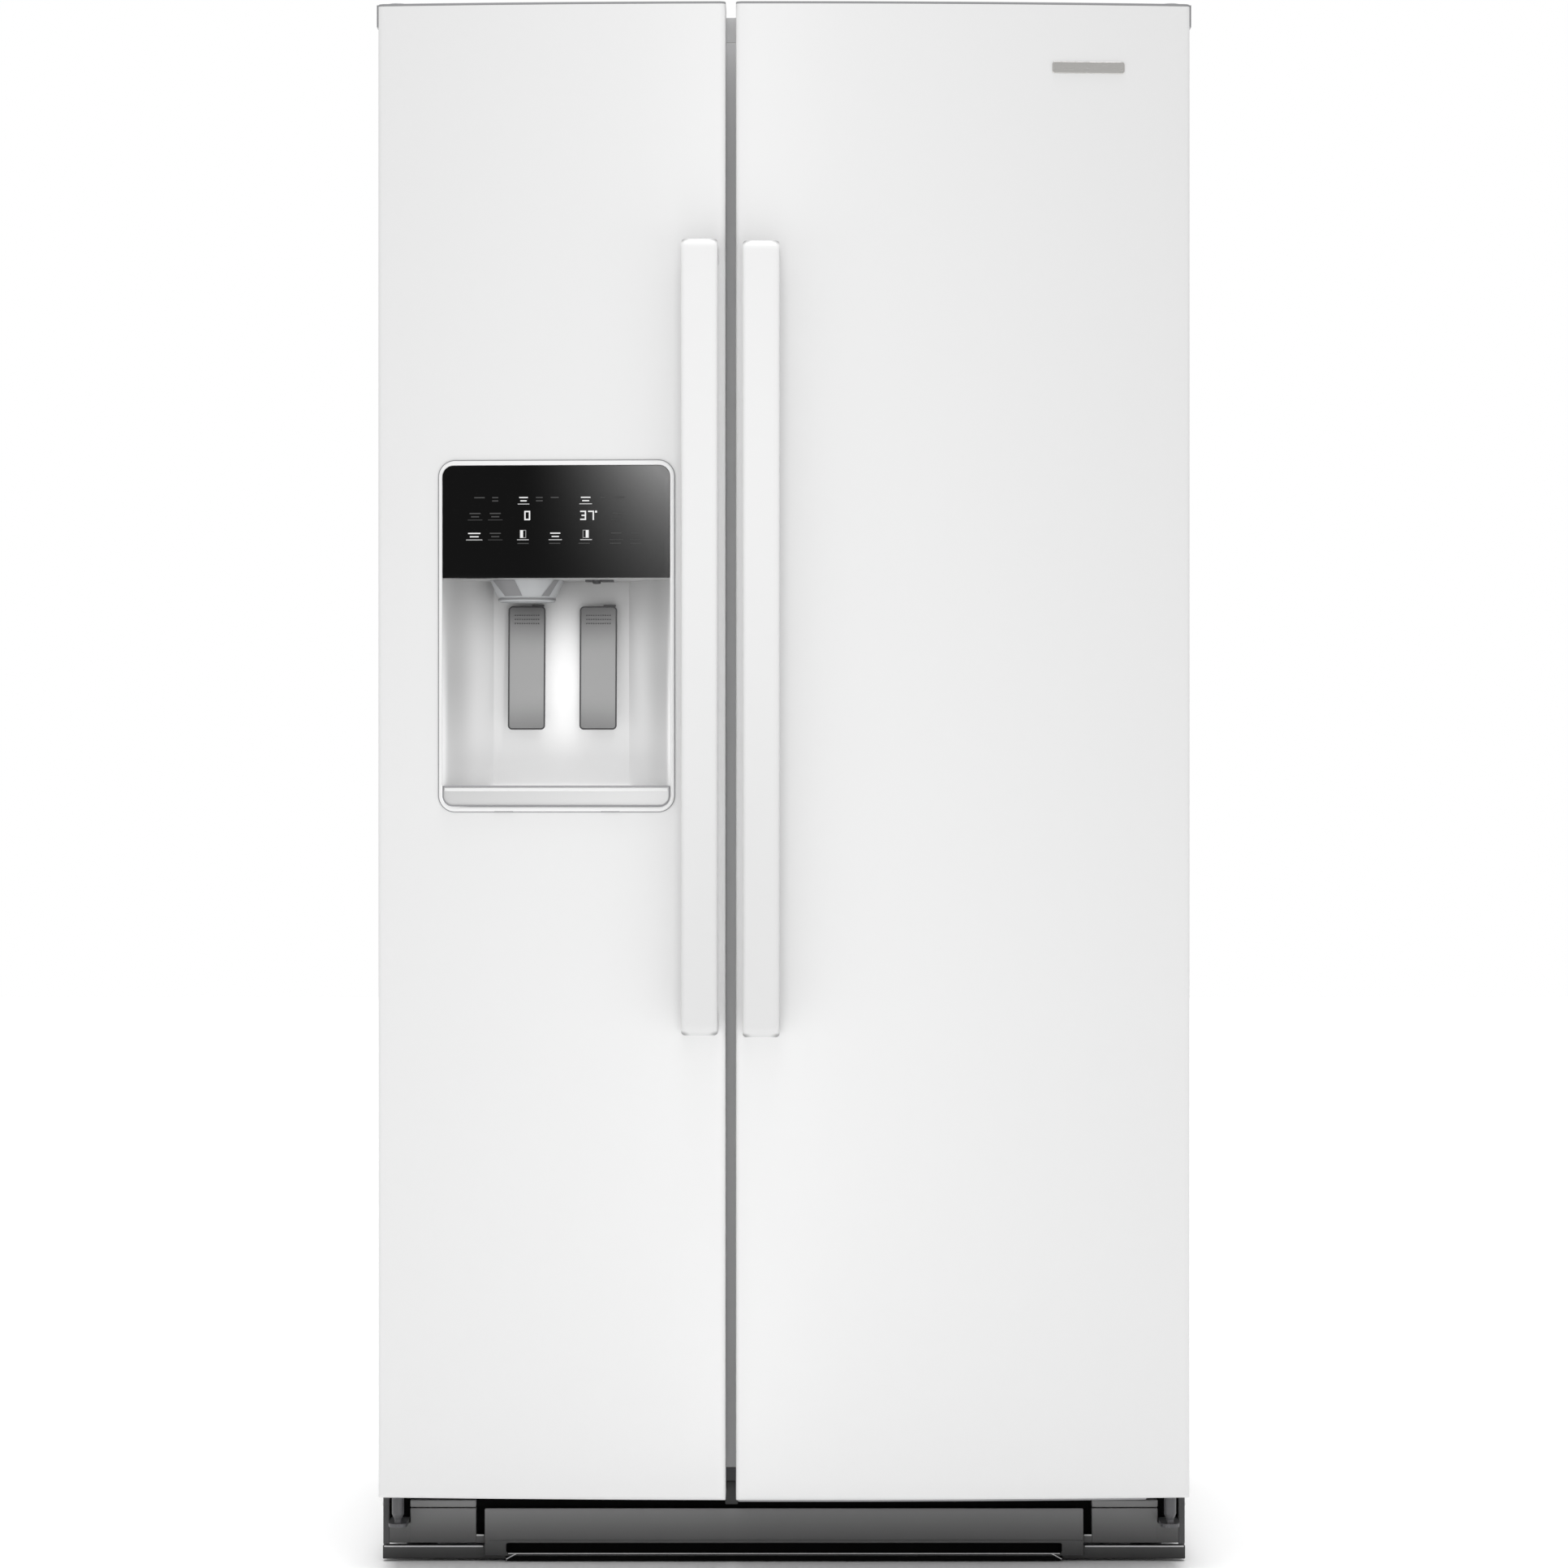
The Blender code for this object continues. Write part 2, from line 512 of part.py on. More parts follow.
DIKE_BACK = -0.272
for label, span, side, compartment in (
    ("freezer", FREEZER_DOOR, -1, FREEZER),
    ("refrigerator", REFRIGERATOR_DOOR, 1, REFRIGERATOR),
):
    pin = (side * PIN_X, PIN_Y, 0)
    skin = add(
        f"{label}_door_skin", prism(bowed(span, 0, -0.3115, corner=0.006), 2, DOOR_LOW, DOOR_TOP - 0.0025), WHITE
    )
    hollow = bowed(grow(span, -SHEET), -SHEET, -0.2, corner=0.005)
    cut(skin, prism(hollow, 2, DOOR_LOW + SHEET, DOOR_TOP + 0.1), rod(0.0055, 0.05, 0.12, pin, steps=16))
    hang(skin, label)

    fill = bowed(grow(span, -SHEET - GAP), -SHEET - GAP, -0.3115, corner=0.005)
    core = add(f"{label}_door_foam", prism(fill, 2, DOOR_LOW + SHEET + GAP, 1.7235), FOAM)
    cut(core, rod(0.0056, 0.05, 0.101, pin, steps=16))
    hang(core, label)

    panel = add(
        f"{label}_door_liner", box(grow(span, -GAP), (-0.3112, DOOR_BACK), (DOOR_LOW + GAP, 1.7235)), LINER
    )
    outer_x = grow(compartment, -0.012)
    inner_x = (outer_x[0] + 0.026, outer_x[1] - 0.016) if side < 0 else (outer_x[0] + 0.016, outer_x[1] - 0.026)
    dike = box(outer_x, (-0.310, DIKE_BACK), (ROOM_FLOOR + 0.012, ROOM_TOP - 0.012))
    join(panel, dike)
    cut(panel, box(inner_x, (DOOR_BACK, -0.2), (ROOM_FLOOR + 0.028, ROOM_TOP - 0.028)))
    hang(panel, label)

    seal_x = (span[0] + 0.018, span[1] - 0.004) if side < 0 else (span[0] + 0.004, span[1] - 0.018)
    seal = add(f"{label}_door_gasket", box(seal_x, (DOOR_BACK + GAP, FRONT - GAP), (0.0855, 1.712)), RUBBER)
    cut(seal, box(grow(seal_x, -0.016), (-0.4, -0.2), (0.1040, 1.694)))
    hang(seal, label)

    lid = bowed(span, 0, DOOR_BACK, corner=0.006)
    cap = add(f"{label}_door_cap", prism(lid, 2, DOOR_TOP - 0.0022, DOOR_TOP), GREY)
    plug = bowed(grow(span, -SHEET - GAP), -SHEET - GAP, DOOR_BACK, corner=0.005)
    ear = tuple(sorted((side * (DOOR_EDGE + GAP), side * (DOOR_EDGE + 0.002))))
    over = tuple(sorted((side * (DOOR_EDGE - 0.004), side * (DOOR_EDGE + 0.002))))
    join(
        cap,
        prism(plug, 2, 1.7240, DOOR_TOP - 0.001),
        box(over, (-0.352, DOOR_BACK), (DOOR_TOP - 0.0022, DOOR_TOP)),
        box(ear, (-0.352, DOOR_BACK), (1.7245, DOOR_TOP - 0.001)),
    )
    cut(cap, rod(0.0055, 1.728, 1.76, pin, steps=16))
    hang(cap, label)

    x = HANDLES[label]
    foot = door_front(x[1]) - 0.0008
    turn = [math.radians(a) for a in (0, 22.5, 45, 67.5, 90)]
    outer = [(HANDLE_FRONT + 0.012 * (1 - math.sin(a)), HANDLE_LOW + 0.012 * (1 - math.cos(a))) for a in turn]
    inner = [(-0.415 + 0.010 * (1 - math.sin(a)), HANDLE_LOW + 0.026 + 0.010 * (1 - math.cos(a))) for a in turn]
    lower = [(foot, HANDLE_LOW)] + outer
    under = [(foot, HANDLE_LOW + 0.026)] + inner
    middle = HANDLE_LOW + HANDLE_TOP
    loop = lower + [(y, middle - z) for y, z in reversed(lower)]
    loop += [(y, middle - z) for y, z in under] + list(reversed(under))
    handle = add(f"{label}_door_handle", prism(loop, 0, *x), WHITE)
    bevel(handle, 0.005, 2)
    hang(handle, label)

# ---- dispenser in the freezer door -------------------------------------------------------------------------
def cassette(by):
    """Outline of the dispenser body in the door, grown by a clearance."""
    return rounded(grow(DISPENSER[:2], by - 0.0025), grow(DISPENSER[2:], by - 0.0025), 0.0155 + by)


BODY_BACK = -0.297
span = DISPENSER[:2]
dispenser = add(
    "dispenser_housing",
    prism(bowed(span, 0.0035, lambda x: door_front(x) - GAP), 2, *DISPENSER[2:]),
    WHITE,
)
common(dispenser, prism(rounded(span, DISPENSER[2:], DISPENSER_CORNER), 1, -0.5, -0.2))
body = prism(bowed(grow(span, -0.0025), 0.002, BODY_BACK), 2, *DISPENSER[2:])
helper = tool(dispenser, body, "UNION", "body")
common(helper, prism(cassette(0), 1, -0.5, -0.2))

left, right, low, high = RECESS
curve = [(0.055 * (k / 5) ** 1.6, -0.366 + 0.066 * k / 5) for k in range(6)]
niche = [(left, -0.42)] + [(left + x, y) for x, y in curve]
niche += [(right - x, y) for x, y in reversed(curve)] + [(right, -0.42)]
cut(dispenser, prism(niche, 2, low, high))
PANEL = ((left + GAP, right - GAP), (high + GAP, 1.2345))
pocket = bowed(grow(PANEL[0], GAP), 0.05, lambda x: door_front(x) + 0.0023)
helper = tool(dispenser, prism(pocket, 2, high - 0.001, 1.24), "DIFFERENCE", "panel_pocket")
common(helper, prism(rounded(grow(PANEL[0], GAP), (1.0, PANEL[1][1] + GAP), 0.0125), 1, -0.6, -0.2))
TRAY = ((left + GAP, right - GAP), (0.8530, low - GAP))
helper = tool(dispenser, box(grow(TRAY[0], GAP), (-0.5, -0.3037), (TRAY[1][0] - GAP, low + 0.001)), "DIFFERENCE", "tray_slot")
common(helper, prism(rounded(grow(TRAY[0], GAP), (TRAY[1][0] - GAP, 1.0), 0.0125), 1, -0.6, -0.2))
CHUTE = (CHUTE_X, -0.331, 0)
cut(dispenser, turned([(0, 1.05), (0.0413, 1.05), (0.0413, 1.26), (0, 1.26)], CHUTE, steps=24, squash=(1, 0.74)))
for x0, x1 in PADDLES.values():
    for place in (x0 - 0.0055, x1 + 0.0010):
        join(dispenser, box((place, place + 0.0045), (-0.313, RECESS_BACK + 0.002), (1.071, 1.0825)))
cut(dispenser, rod(0.0029, -0.06, 0.21, (-0.31, *PADDLE_PIVOT), "X", 12))
join(dispenser, box((-0.2235, -0.1915), (-0.345, -0.325), (1.1015, 1.112)))
hang(dispenser, "freezer")

foam = bpy.data.objects["freezer_door_foam"]
join(foam, box((-0.3822, -0.1133), (-0.32, -0.2648), (0.8428, 1.2592)))
cut(foam, prism(cassette(GAP), 1, -0.5, BODY_BACK + GAP))
cut(foam, box((CHUTE_X - 0.030, CHUTE_X + 0.030), (-0.318, -0.270), (1.2, 1.3)))
cut(bpy.data.objects["freezer_door_skin"], prism(cassette(GAP), 1, -0.5, -0.33))
panel = bpy.data.objects["freezer_door_liner"]
join(panel, box((-0.385, -0.111), (-0.3105, -0.262), (0.840, 1.262)))
cut(panel, box((-0.3825, -0.1130), (-0.35, -0.2645), (0.8425, 1.2595)))
cut(panel, box((CHUTE_X - 0.030, CHUTE_X + 0.030), (-0.300, -0.270), (1.2, 1.3)))

glass = add("control_panel", prism(bowed(PANEL[0], 0.0030, lambda x: door_front(x) + 0.002), 2, *PANEL[1]), BLACK)
common(glass, prism(rounded(PANEL[0], (1.0, PANEL[1][1]), 0.0122), 1, -0.6, -0.2))
cut(glass, box((-0.6, 0.6), (-0.6, 0), (0.9, PANEL[1][0])))
hang(glass, "freezer")

funnel = [(0.0320, 1.083), (0.0409, 1.1070), (0.0409, 1.2300), (0.0385, 1.2300), (0.0385, 1.1080), (0.0300, 1.083)]
chute = add("ice_chute", turned(funnel, CHUTE, steps=24, squash=(1, 0.73)), CLEAR)
hang(chute, "freezer")

for name, x in PADDLES.items():
    y, z = PADDLE_PIVOT
    plate = [(y - 0.002, z + 0.0022), (y + 0.002, z + 0.0022), (y - 0.0125, 0.9413), (y - 0.0170, 0.9413)]
    paddle = add(name, prism(plate, 0, *x), CLEAR, (sum(x) / 2, y, z))
    join(paddle, rod(0.0025, x[0] - 0.0040, x[1] + 0.0040, (0, y, z), "X", 12))
    hang(paddle, "freezer")

x, z = TRAY
drip = prism(bowed(x, 0.0030, -0.304), 2, *z)
drip = add("drip_tray", drip, GREY, (sum(x) / 2, -0.376, z[0]))
common(drip, prism(rounded(x, (z[0], 1.0), 0.0122), 1, -0.6, -0.2))
cut(drip, box(grow(x, -0.016), (-0.358, -0.308), (z[0] + 0.003, 1.0)))
hang(drip, "freezer")

# ---- bins on the doors -------------------------------------------------------------------------------------
BINS = {
    "ice_bin": ("freezer", (-0.3700, -0.1190), (-0.3087, -0.205), (1.266, 1.585), CLEAR),
    "freezer_door_bin": ("freezer", (-0.3700, -0.1190), (-0.3087, -0.205), (0.300, 0.430), CLEAR),
    "door_bin_upper": ("refrigerator", (-0.0025, 0.3700), (-0.3087, -0.195), (0.960, 1.090), CLEAR),
    "door_bin_lower": ("refrigerator", (-0.0025, 0.3700), (-0.3087, -0.195), (0.330, 0.480), CLEAR),
    "dairy_bin": ("refrigerator", (-0.0025, 0.3700), (-0.3087, -0.205), (1.440, 1.580), LINER),
}
for name, (label, x, y, z, look) in BINS.items():
    outer, inner = tray(x, y, z, 0.0025, 0.003)
    holder = add(name, outer, look)
    cut(holder, inner)
    if name == "ice_bin":
        cut(holder, box((CHUTE_X - 0.030, CHUTE_X + 0.030), (-0.300, -0.270), (1.2, 1.3)))
    hang(holder, label)
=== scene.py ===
# %% [markdown]
# # Side by side refrigerator
#
# Two tall bowed doors hang on one white cabinet: the freezer on the left with an ice and water dispenser, the
# refrigerator on the right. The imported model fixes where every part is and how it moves. This lesson gives each
# part the surface it has in the kitchen: painted steel, moulded plastic, smoked glass, rubber and foam.

import json
import math

import bmesh
import bpy
import numpy as np
from mathutils import Matrix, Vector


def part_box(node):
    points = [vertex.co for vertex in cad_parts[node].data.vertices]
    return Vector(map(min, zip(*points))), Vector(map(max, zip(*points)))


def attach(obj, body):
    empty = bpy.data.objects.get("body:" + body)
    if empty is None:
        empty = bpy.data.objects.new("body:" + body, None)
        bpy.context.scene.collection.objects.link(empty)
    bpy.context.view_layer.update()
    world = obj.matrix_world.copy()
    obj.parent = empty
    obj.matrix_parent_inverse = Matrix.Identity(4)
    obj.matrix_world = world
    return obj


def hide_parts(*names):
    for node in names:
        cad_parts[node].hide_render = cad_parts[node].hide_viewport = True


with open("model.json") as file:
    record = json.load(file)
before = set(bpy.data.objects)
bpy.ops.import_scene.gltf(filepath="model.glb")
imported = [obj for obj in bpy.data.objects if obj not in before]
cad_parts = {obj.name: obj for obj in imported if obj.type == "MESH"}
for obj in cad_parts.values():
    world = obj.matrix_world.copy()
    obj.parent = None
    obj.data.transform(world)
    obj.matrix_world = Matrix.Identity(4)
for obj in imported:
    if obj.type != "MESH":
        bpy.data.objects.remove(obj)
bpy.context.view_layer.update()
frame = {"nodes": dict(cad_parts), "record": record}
SLOT_OF = {part["node"]: part["material_slot"] for part in frame["record"]["subparts"]}

# %% [markdown]
# ## Camera
#
# A tall appliance is best seen from well back through a long lens, so that its sides stay upright. The camera
# stands level with the dispenser, five metres in front of the doors, and a small upward shift centres the
# object without tilting the lens, the way an architect's camera does it.

# %% Camera
DOOR_PLANE = -0.359
camera_data = bpy.data.cameras.new("camera")
camera = bpy.data.objects.new("camera", camera_data)
bpy.context.scene.collection.objects.link(camera)
camera.location = (0.0, DOOR_PLANE - 5.0, 0.847)
camera.rotation_euler = (math.pi / 2, 0, 0)
camera_data.sensor_width = 36.0
camera_data.lens = 102.76
camera_data.shift_y = 0.0176
camera_data.clip_start, camera_data.clip_end = 0.1, 100.0
camera_data.dof.use_dof = False
bpy.context.scene.camera = camera
print("camera", tuple(camera.location), "lens", camera_data.lens)

# %% [markdown]
# ## Studio
#
# White enamel is shown in a white tent. The world is the tent: even white light from all round, which also makes
# the background. A tall soft lamp a little to the left of the camera gives the bowed doors their slow fall from
# bright middle to greyer edges. The floor is a plain pale sheet that runs far past the object.


# %% Light, world and floor
def soft_lamp(name, place, aim, size, power):
    """Rectangular lamp at a place, turned towards aim."""
    data = bpy.data.lights.new(name, "AREA")
    data.shape = "RECTANGLE"
    data.size, data.size_y = size
    data.energy = power
    lamp = bpy.data.objects.new(name, data)
    bpy.context.scene.collection.objects.link(lamp)
    lamp.location = place
    back = np.array(place, float) - np.array(aim, float)
    lamp.rotation_euler = (
        math.atan2(math.hypot(back[0], back[1]), back[2]),
        0,
        math.atan2(back[0], -back[1]),
    )
    lamp.visible_camera = False
    return lamp


soft_lamp("tall_lamp", (-0.070, -1.05, 1.16), (-0.070, -0.36, 1.16), (0.16, 2.30), 1.9)
sky = bpy.data.objects.new("sky_lamp", bpy.data.lights.new("sky_lamp", "SUN"))
sky.data.energy, sky.data.angle = 2.2, 0.5
bpy.context.scene.collection.objects.link(sky)
world = bpy.data.worlds.new("tent")
bpy.context.scene.world = world
world.use_nodes = True
tent = world.node_tree.nodes["Background"]
tent.inputs["Color"].default_value = (1.0, 1.0, 1.0, 1)
seen = world.node_tree.nodes.new("ShaderNodeLightPath")
level = world.node_tree.nodes.new("ShaderNodeMapRange")
level.inputs["To Min"].default_value, level.inputs["To Max"].default_value = 0.61, 1.0
world.node_tree.links.new(seen.outputs["Is Camera Ray"], level.inputs["Value"])
world.node_tree.links.new(level.outputs["Result"], tent.inputs["Strength"])
bpy.context.scene.view_settings.view_transform = "Standard"

# %% [markdown]
# ## Finishes
#
# Every finish here starts from the same few nodes. Object coordinates go into a slow noise that shifts the
# colour a little, a finer noise that shifts the gloss, and a third one that raises the surface: orange peel on
# paint, a fine grain on moulded plastic, drawn streaks on steel. Only the numbers differ, so one function
# makes them all and the table after it reads like a finish schedule.

# %% Finish maker
COLOUR_A, COLOUR_B, COLOUR_OUT = 6, 7, 2  # places of the colour sockets on a Mix node


def finish(name, colour, gloss, metal=0.0, shift=0.03, relief=(900.0, 0.04), stretch=(1, 1, 1), **more):
    """Noise driven finish: colour +- shift, roughness between the two gloss values, relief (scale, strength)."""
    material = bpy.data.materials.new(name)
    material.use_nodes = True
    nodes, links = material.node_tree.nodes, material.node_tree.links
    shader = nodes["Principled BSDF"]
    place = nodes.new("ShaderNodeTexCoord")
    lay = nodes.new("ShaderNodeMapping")
    lay.inputs["Scale"].default_value = stretch
    links.new(place.outputs["Object"], lay.inputs["Vector"])

    def noise(scale, detail):
        """Noise between 0 and 1 over the object, at a scale per metre."""
        node = nodes.new("ShaderNodeTexNoise")
        node.inputs["Scale"].default_value = scale
        node.inputs["Detail"].default_value = detail
        links.new(lay.outputs["Vector"], node.inputs["Vector"])
        return node.outputs["Fac"]

    tint = nodes.new("ShaderNodeMix")
    tint.data_type = "RGBA"
    tint.inputs[COLOUR_A].default_value = (*[c * (1 - shift) for c in colour], 1)
    tint.inputs[COLOUR_B].default_value = (*[min(c * (1 + shift), 1.0) for c in colour], 1)
    links.new(noise(more.get("patch", 7.0), 3), tint.inputs[0])
    links.new(tint.outputs[COLOUR_OUT], shader.inputs["Base Color"])
    spread = nodes.new("ShaderNodeMapRange")
    spread.inputs["To Min"].default_value, spread.inputs["To Max"].default_value = gloss
    links.new(noise(more.get("smear", 60.0), 4), spread.inputs["Value"])
    links.new(spread.outputs["Result"], shader.inputs["Roughness"])
    bump = nodes.new("ShaderNodeBump")
    bump.inputs["Strength"].default_value = relief[1]
    bump.inputs["Distance"].default_value = 0.001
    links.new(noise(relief[0], 2), bump.inputs["Height"])
    links.new(bump.outputs["Normal"], shader.inputs["Normal"])
    shader.inputs["Metallic"].default_value = metal
    shader.inputs["Specular IOR Level"].default_value = more.get("specular", 0.5)
    shader.inputs["Alpha"].default_value = more.get("alpha", 1.0)
    material.diffuse_color = (*colour, 1)
    return material


# %% [markdown]
# Some parts have light or shade painted along their length. The smoked glass has a painted sheen that grows
# towards one side, the base plastic has painted light towards its top, and the tray front has painted shade
# towards its left end. A graded finish measures how far a point has gone along a straight way through the part,
# as a dot product with the way, and blends two greys by a power of that share.


# %% Graded finish
def graded(name, dark, light, low, high, power=1.0, fade=(0.0, 0.0), **more):
    """Finish whose grey rises from dark to light from point low to point high, as the power of the way gone.

    A fade (rate, height) also dims the light end by e to the rate times (Z - height).
    """
    material = finish(name, dark, more.pop("gloss", (0.10, 0.14)), shift=0.0, **more)
    nodes, links = material.node_tree.nodes, material.node_tree.links
    place = nodes.new("ShaderNodeTexCoord")
    way = np.array(high, float) - np.array(low, float)
    slope = nodes.new("ShaderNodeVectorMath")
    slope.operation = "DOT_PRODUCT"
    slope.inputs[1].default_value = way / (way @ way)
    links.new(place.outputs["Object"], slope.inputs[0])
    ramp = nodes.new("ShaderNodeMapRange")
    start = float(np.array(low) @ way / (way @ way))
    ramp.inputs["From Min"].default_value, ramp.inputs["From Max"].default_value = start, start + 1.0
    links.new(slope.outputs["Value"], ramp.inputs["Value"])
    span = nodes.new("ShaderNodeMath")
    span.operation = "POWER"
    span.inputs[1].default_value = power
    links.new(ramp.outputs["Result"], span.inputs[0])
    if fade[0]:
        split = nodes.new("ShaderNodeSeparateXYZ")
        links.new(place.outputs["Object"], split.inputs["Vector"])
        rate = nodes.new("ShaderNodeMath")
        rate.operation = "MULTIPLY_ADD"
        rate.inputs[1].default_value, rate.inputs[2].default_value = fade[0], -fade[0] * fade[1]
        links.new(split.outputs["Z"], rate.inputs[0])
        dim = nodes.new("ShaderNodeMath")
        dim.operation = "EXPONENT"
        links.new(rate.outputs["Value"], dim.inputs[0])
        both = nodes.new("ShaderNodeMath")
        both.operation = "MULTIPLY"
        links.new(span.outputs["Value"], both.inputs[0])
        links.new(dim.outputs["Value"], both.inputs[1])
        span = both
    blend = nodes.new("ShaderNodeMix")
    blend.data_type = "RGBA"
    blend.inputs[COLOUR_A].default_value = (*dark, 1)
    blend.inputs[COLOUR_B].default_value = (*light, 1)
    links.new(span.outputs["Value"], blend.inputs[0])
    links.new(blend.outputs[COLOUR_OUT], nodes["Principled BSDF"].inputs["Base Color"])
    return material


# %% [markdown]
# Other parts have painted shade in a corner or a painted glow where a hidden lamp would shine. Each is a soft
# spot: a bell that is full at its centre and gone at its half sizes. A texture mapping turns object coordinates
# into the spot's own units, so the distance from the centre is one number, and the spots add up. The dispenser
# recess, the paddles and the handles use them.


# %% Soft spots of shade and light
def soft_spots(material, spots):
    """Sum of soft spots in object coordinates: each is centre, half sizes and strength, fading as a bell."""
    nodes, links = material.node_tree.nodes, material.node_tree.links
    place = nodes.new("ShaderNodeTexCoord")
    total = None
    for centre, half, strength in spots:
        lay = nodes.new("ShaderNodeMapping")
        lay.vector_type = "TEXTURE"
        lay.inputs["Location"].default_value = centre
        lay.inputs["Scale"].default_value = half
        links.new(place.outputs["Object"], lay.inputs["Vector"])
        length = nodes.new("ShaderNodeVectorMath")
        length.operation = "LENGTH"
        links.new(lay.outputs["Vector"], length.inputs[0])
        fade = nodes.new("ShaderNodeMapRange")
        fade.interpolation_type = "SMOOTHERSTEP"
        fade.inputs["From Min"].default_value, fade.inputs["From Max"].default_value = 0.0, 1.0
        fade.inputs["To Min"].default_value, fade.inputs["To Max"].default_value = strength, 0.0
        links.new(length.outputs["Value"], fade.inputs["Value"])
        if total is None:
            total = fade.outputs["Result"]
        else:
            add = nodes.new("ShaderNodeMath")
            links.new(total, add.inputs[0])
            links.new(fade.outputs["Result"], add.inputs[1])
            total = add.outputs["Value"]
    return total


def moulding_with_painted_light(name, light, dark, shades, spots):
    """Moulded plastic, light to dark in painted shade where the shades lie, with a painted glow where the spots
    lie.
    """
    material = finish(name, light, (0.36, 0.46), shift=0.01, relief=(1600, 0.03))
    nodes, links = material.node_tree.nodes, material.node_tree.links
    shader = nodes["Principled BSDF"]
    blend = nodes.new("ShaderNodeMix")
    blend.data_type = "RGBA"
    links.new(shader.inputs["Base Color"].links[0].from_socket, blend.inputs[COLOUR_A])
    blend.inputs[COLOUR_B].default_value = (*dark, 1)
    links.new(soft_spots(material, shades), blend.inputs[0])
    links.new(blend.outputs[COLOUR_OUT], shader.inputs["Base Color"])
    shader.inputs["Emission Color"].default_value = (1.0, 1.0, 1.0, 1)
    if spots:
        links.new(soft_spots(material, spots), shader.inputs["Emission Strength"])
    return material


# %% [markdown]
# The schedule. The doors are baked enamel with a faint orange peel. The liners, bins and caps are moulded
# plastic with a fine grain. The base is black filled plastic, the hinges are dark painted steel, and the back
# is galvanised sheet. Foam has cells of a millimetre or two.

# %% Finish schedule
STEEL = {"metal": 1.0, "shift": 0.08, "relief": (160, 0.10), "patch": 40, "smear": 120}
ALUMINIUM = {"metal": 1.0, "shift": 0.05, "relief": (300, 0.08), "patch": 25}
SCHEDULE = {
    "white_enamel": ((0.80, 0.80, 0.80), (0.27, 0.29), {"shift": 0.001, "relief": (900, 0.003)}),
    "white_plastic": ((0.84, 0.84, 0.84), (0.30, 0.38), {"shift": 0.01, "relief": (1500, 0.03)}),
    "liner_plastic": ((0.82, 0.83, 0.84), (0.32, 0.42), {"shift": 0.015, "relief": (1200, 0.05)}),
    "grey_plastic": ((0.30, 0.30, 0.31), (0.42, 0.52), {"shift": 0.03, "relief": (2200, 0.10)}),
    "dark_plastic": ((0.060, 0.060, 0.062), (0.42, 0.55), {"shift": 0.06, "relief": (2600, 0.15)}),
    "dark_steel": ((0.10, 0.10, 0.105), (0.38, 0.50), {"metal": 0.3, "shift": 0.06, "relief": (900, 0.06)}),
    "bare_steel": ((0.60, 0.61, 0.62), (0.28, 0.42), STEEL),
    "coil_aluminium": ((0.72, 0.73, 0.74), (0.30, 0.44), ALUMINIUM),
    "black_glass": ((0.012, 0.012, 0.013), (0.10, 0.14), {"shift": 0.1, "relief": (60, 0.002)}),
    "clear_plastic": ((0.80, 0.86, 0.90), (0.10, 0.18), {"shift": 0.02, "relief": (200, 0.01), "alpha": 0.42}),
    "shelf_glass": ((0.70, 0.82, 0.80), (0.04, 0.09), {"shift": 0.02, "relief": (90, 0.004), "alpha": 0.40}),
    "seal_rubber": ((0.62, 0.62, 0.63), (0.55, 0.70), {"shift": 0.04, "relief": (1400, 0.12)}),
    "foam": ((0.80, 0.70, 0.44), (0.85, 0.95), {"shift": 0.10, "relief": (650, 0.6), "patch": 90}),
}
FINISHES = {name: finish(name, colour, gloss, **more) for name, (colour, gloss, more) in SCHEDULE.items()}
floor_sheet = finish("floor_sheet", (0.93, 0.93, 0.93), (0.75, 0.85), shift=0.004, patch=2, specular=0.0)
print("finishes", len(FINISHES))

# %% [markdown]
# ## The floor
#
# A plain sheet, thirty metres each way. It isn't part of the object.


# %% Floor
def grid_mesh(name, points, faces):
    """Mesh from an array of points and an array of quads."""
    mesh = bpy.data.meshes.new(name)
    mesh.from_pydata(np.asarray(points, float).reshape(-1, 3).tolist(), [], np.asarray(faces).tolist())
    mesh.update()
    return mesh


reach, below = 15.0, -0.0003
sheet = np.array([(reach * x, reach * y, below) for x, y in ((-1, -1), (1, -1), (1, 1), (-1, 1))])
floor = bpy.data.objects.new("floor", grid_mesh("floor", sheet, [(0, 1, 2, 3)]))
bpy.context.scene.collection.objects.link(floor)
floor.data.materials.append(floor_sheet)
print("floor", 2 * reach, "m")

# %% [markdown]
# ## Surfaces from profiles
#
# Most of this refrigerator is rounded rectangles: doors, bezel, panel, tray, drawers. One idea makes them all.
# A profile, as pairs of inset and depth, is carried round a rounded rectangle. An inset of zero is the outline
# itself, and an inset of half its width shrinks it to a line, which closes the surface. Another function turns
# a profile about an upright axis, and both hand their grid of points to the same mesh maker.


# %% Outline and profile carrier
def outline(x, z, corner, across=12, down=24, turn=6):
    """Rounded rectangle, anticlockwise from the lower right: four quarter circles joined by straight runs."""
    most = max(min(x[1] - x[0], z[1] - z[0]) / 2, 0.0)
    corner = np.clip(np.broadcast_to(corner, 4), 0.0, most)[:, None]
    centres = np.array([(x[1], z[0]), (x[1], z[1]), (x[0], z[1]), (x[0], z[0])], float)
    centres += corner * np.array([(-1, 1), (-1, -1), (1, -1), (1, 1)])
    angle = np.radians(np.array([-90, 0, 90, 180])[:, None] + np.linspace(0, 90, turn + 1))
    arcs = centres[:, None] + corner[:, None] * np.stack([np.cos(angle), np.sin(angle)], -1)
    runs = []
    for k, steps in enumerate((down, across, down, across)):
        share = np.linspace(0, 1, steps + 1)[1:-1, None]
        runs += [arcs[k], arcs[k][-1] * (1 - share) + arcs[(k + 1) % 4][0] * share]
    return np.vstack(runs)


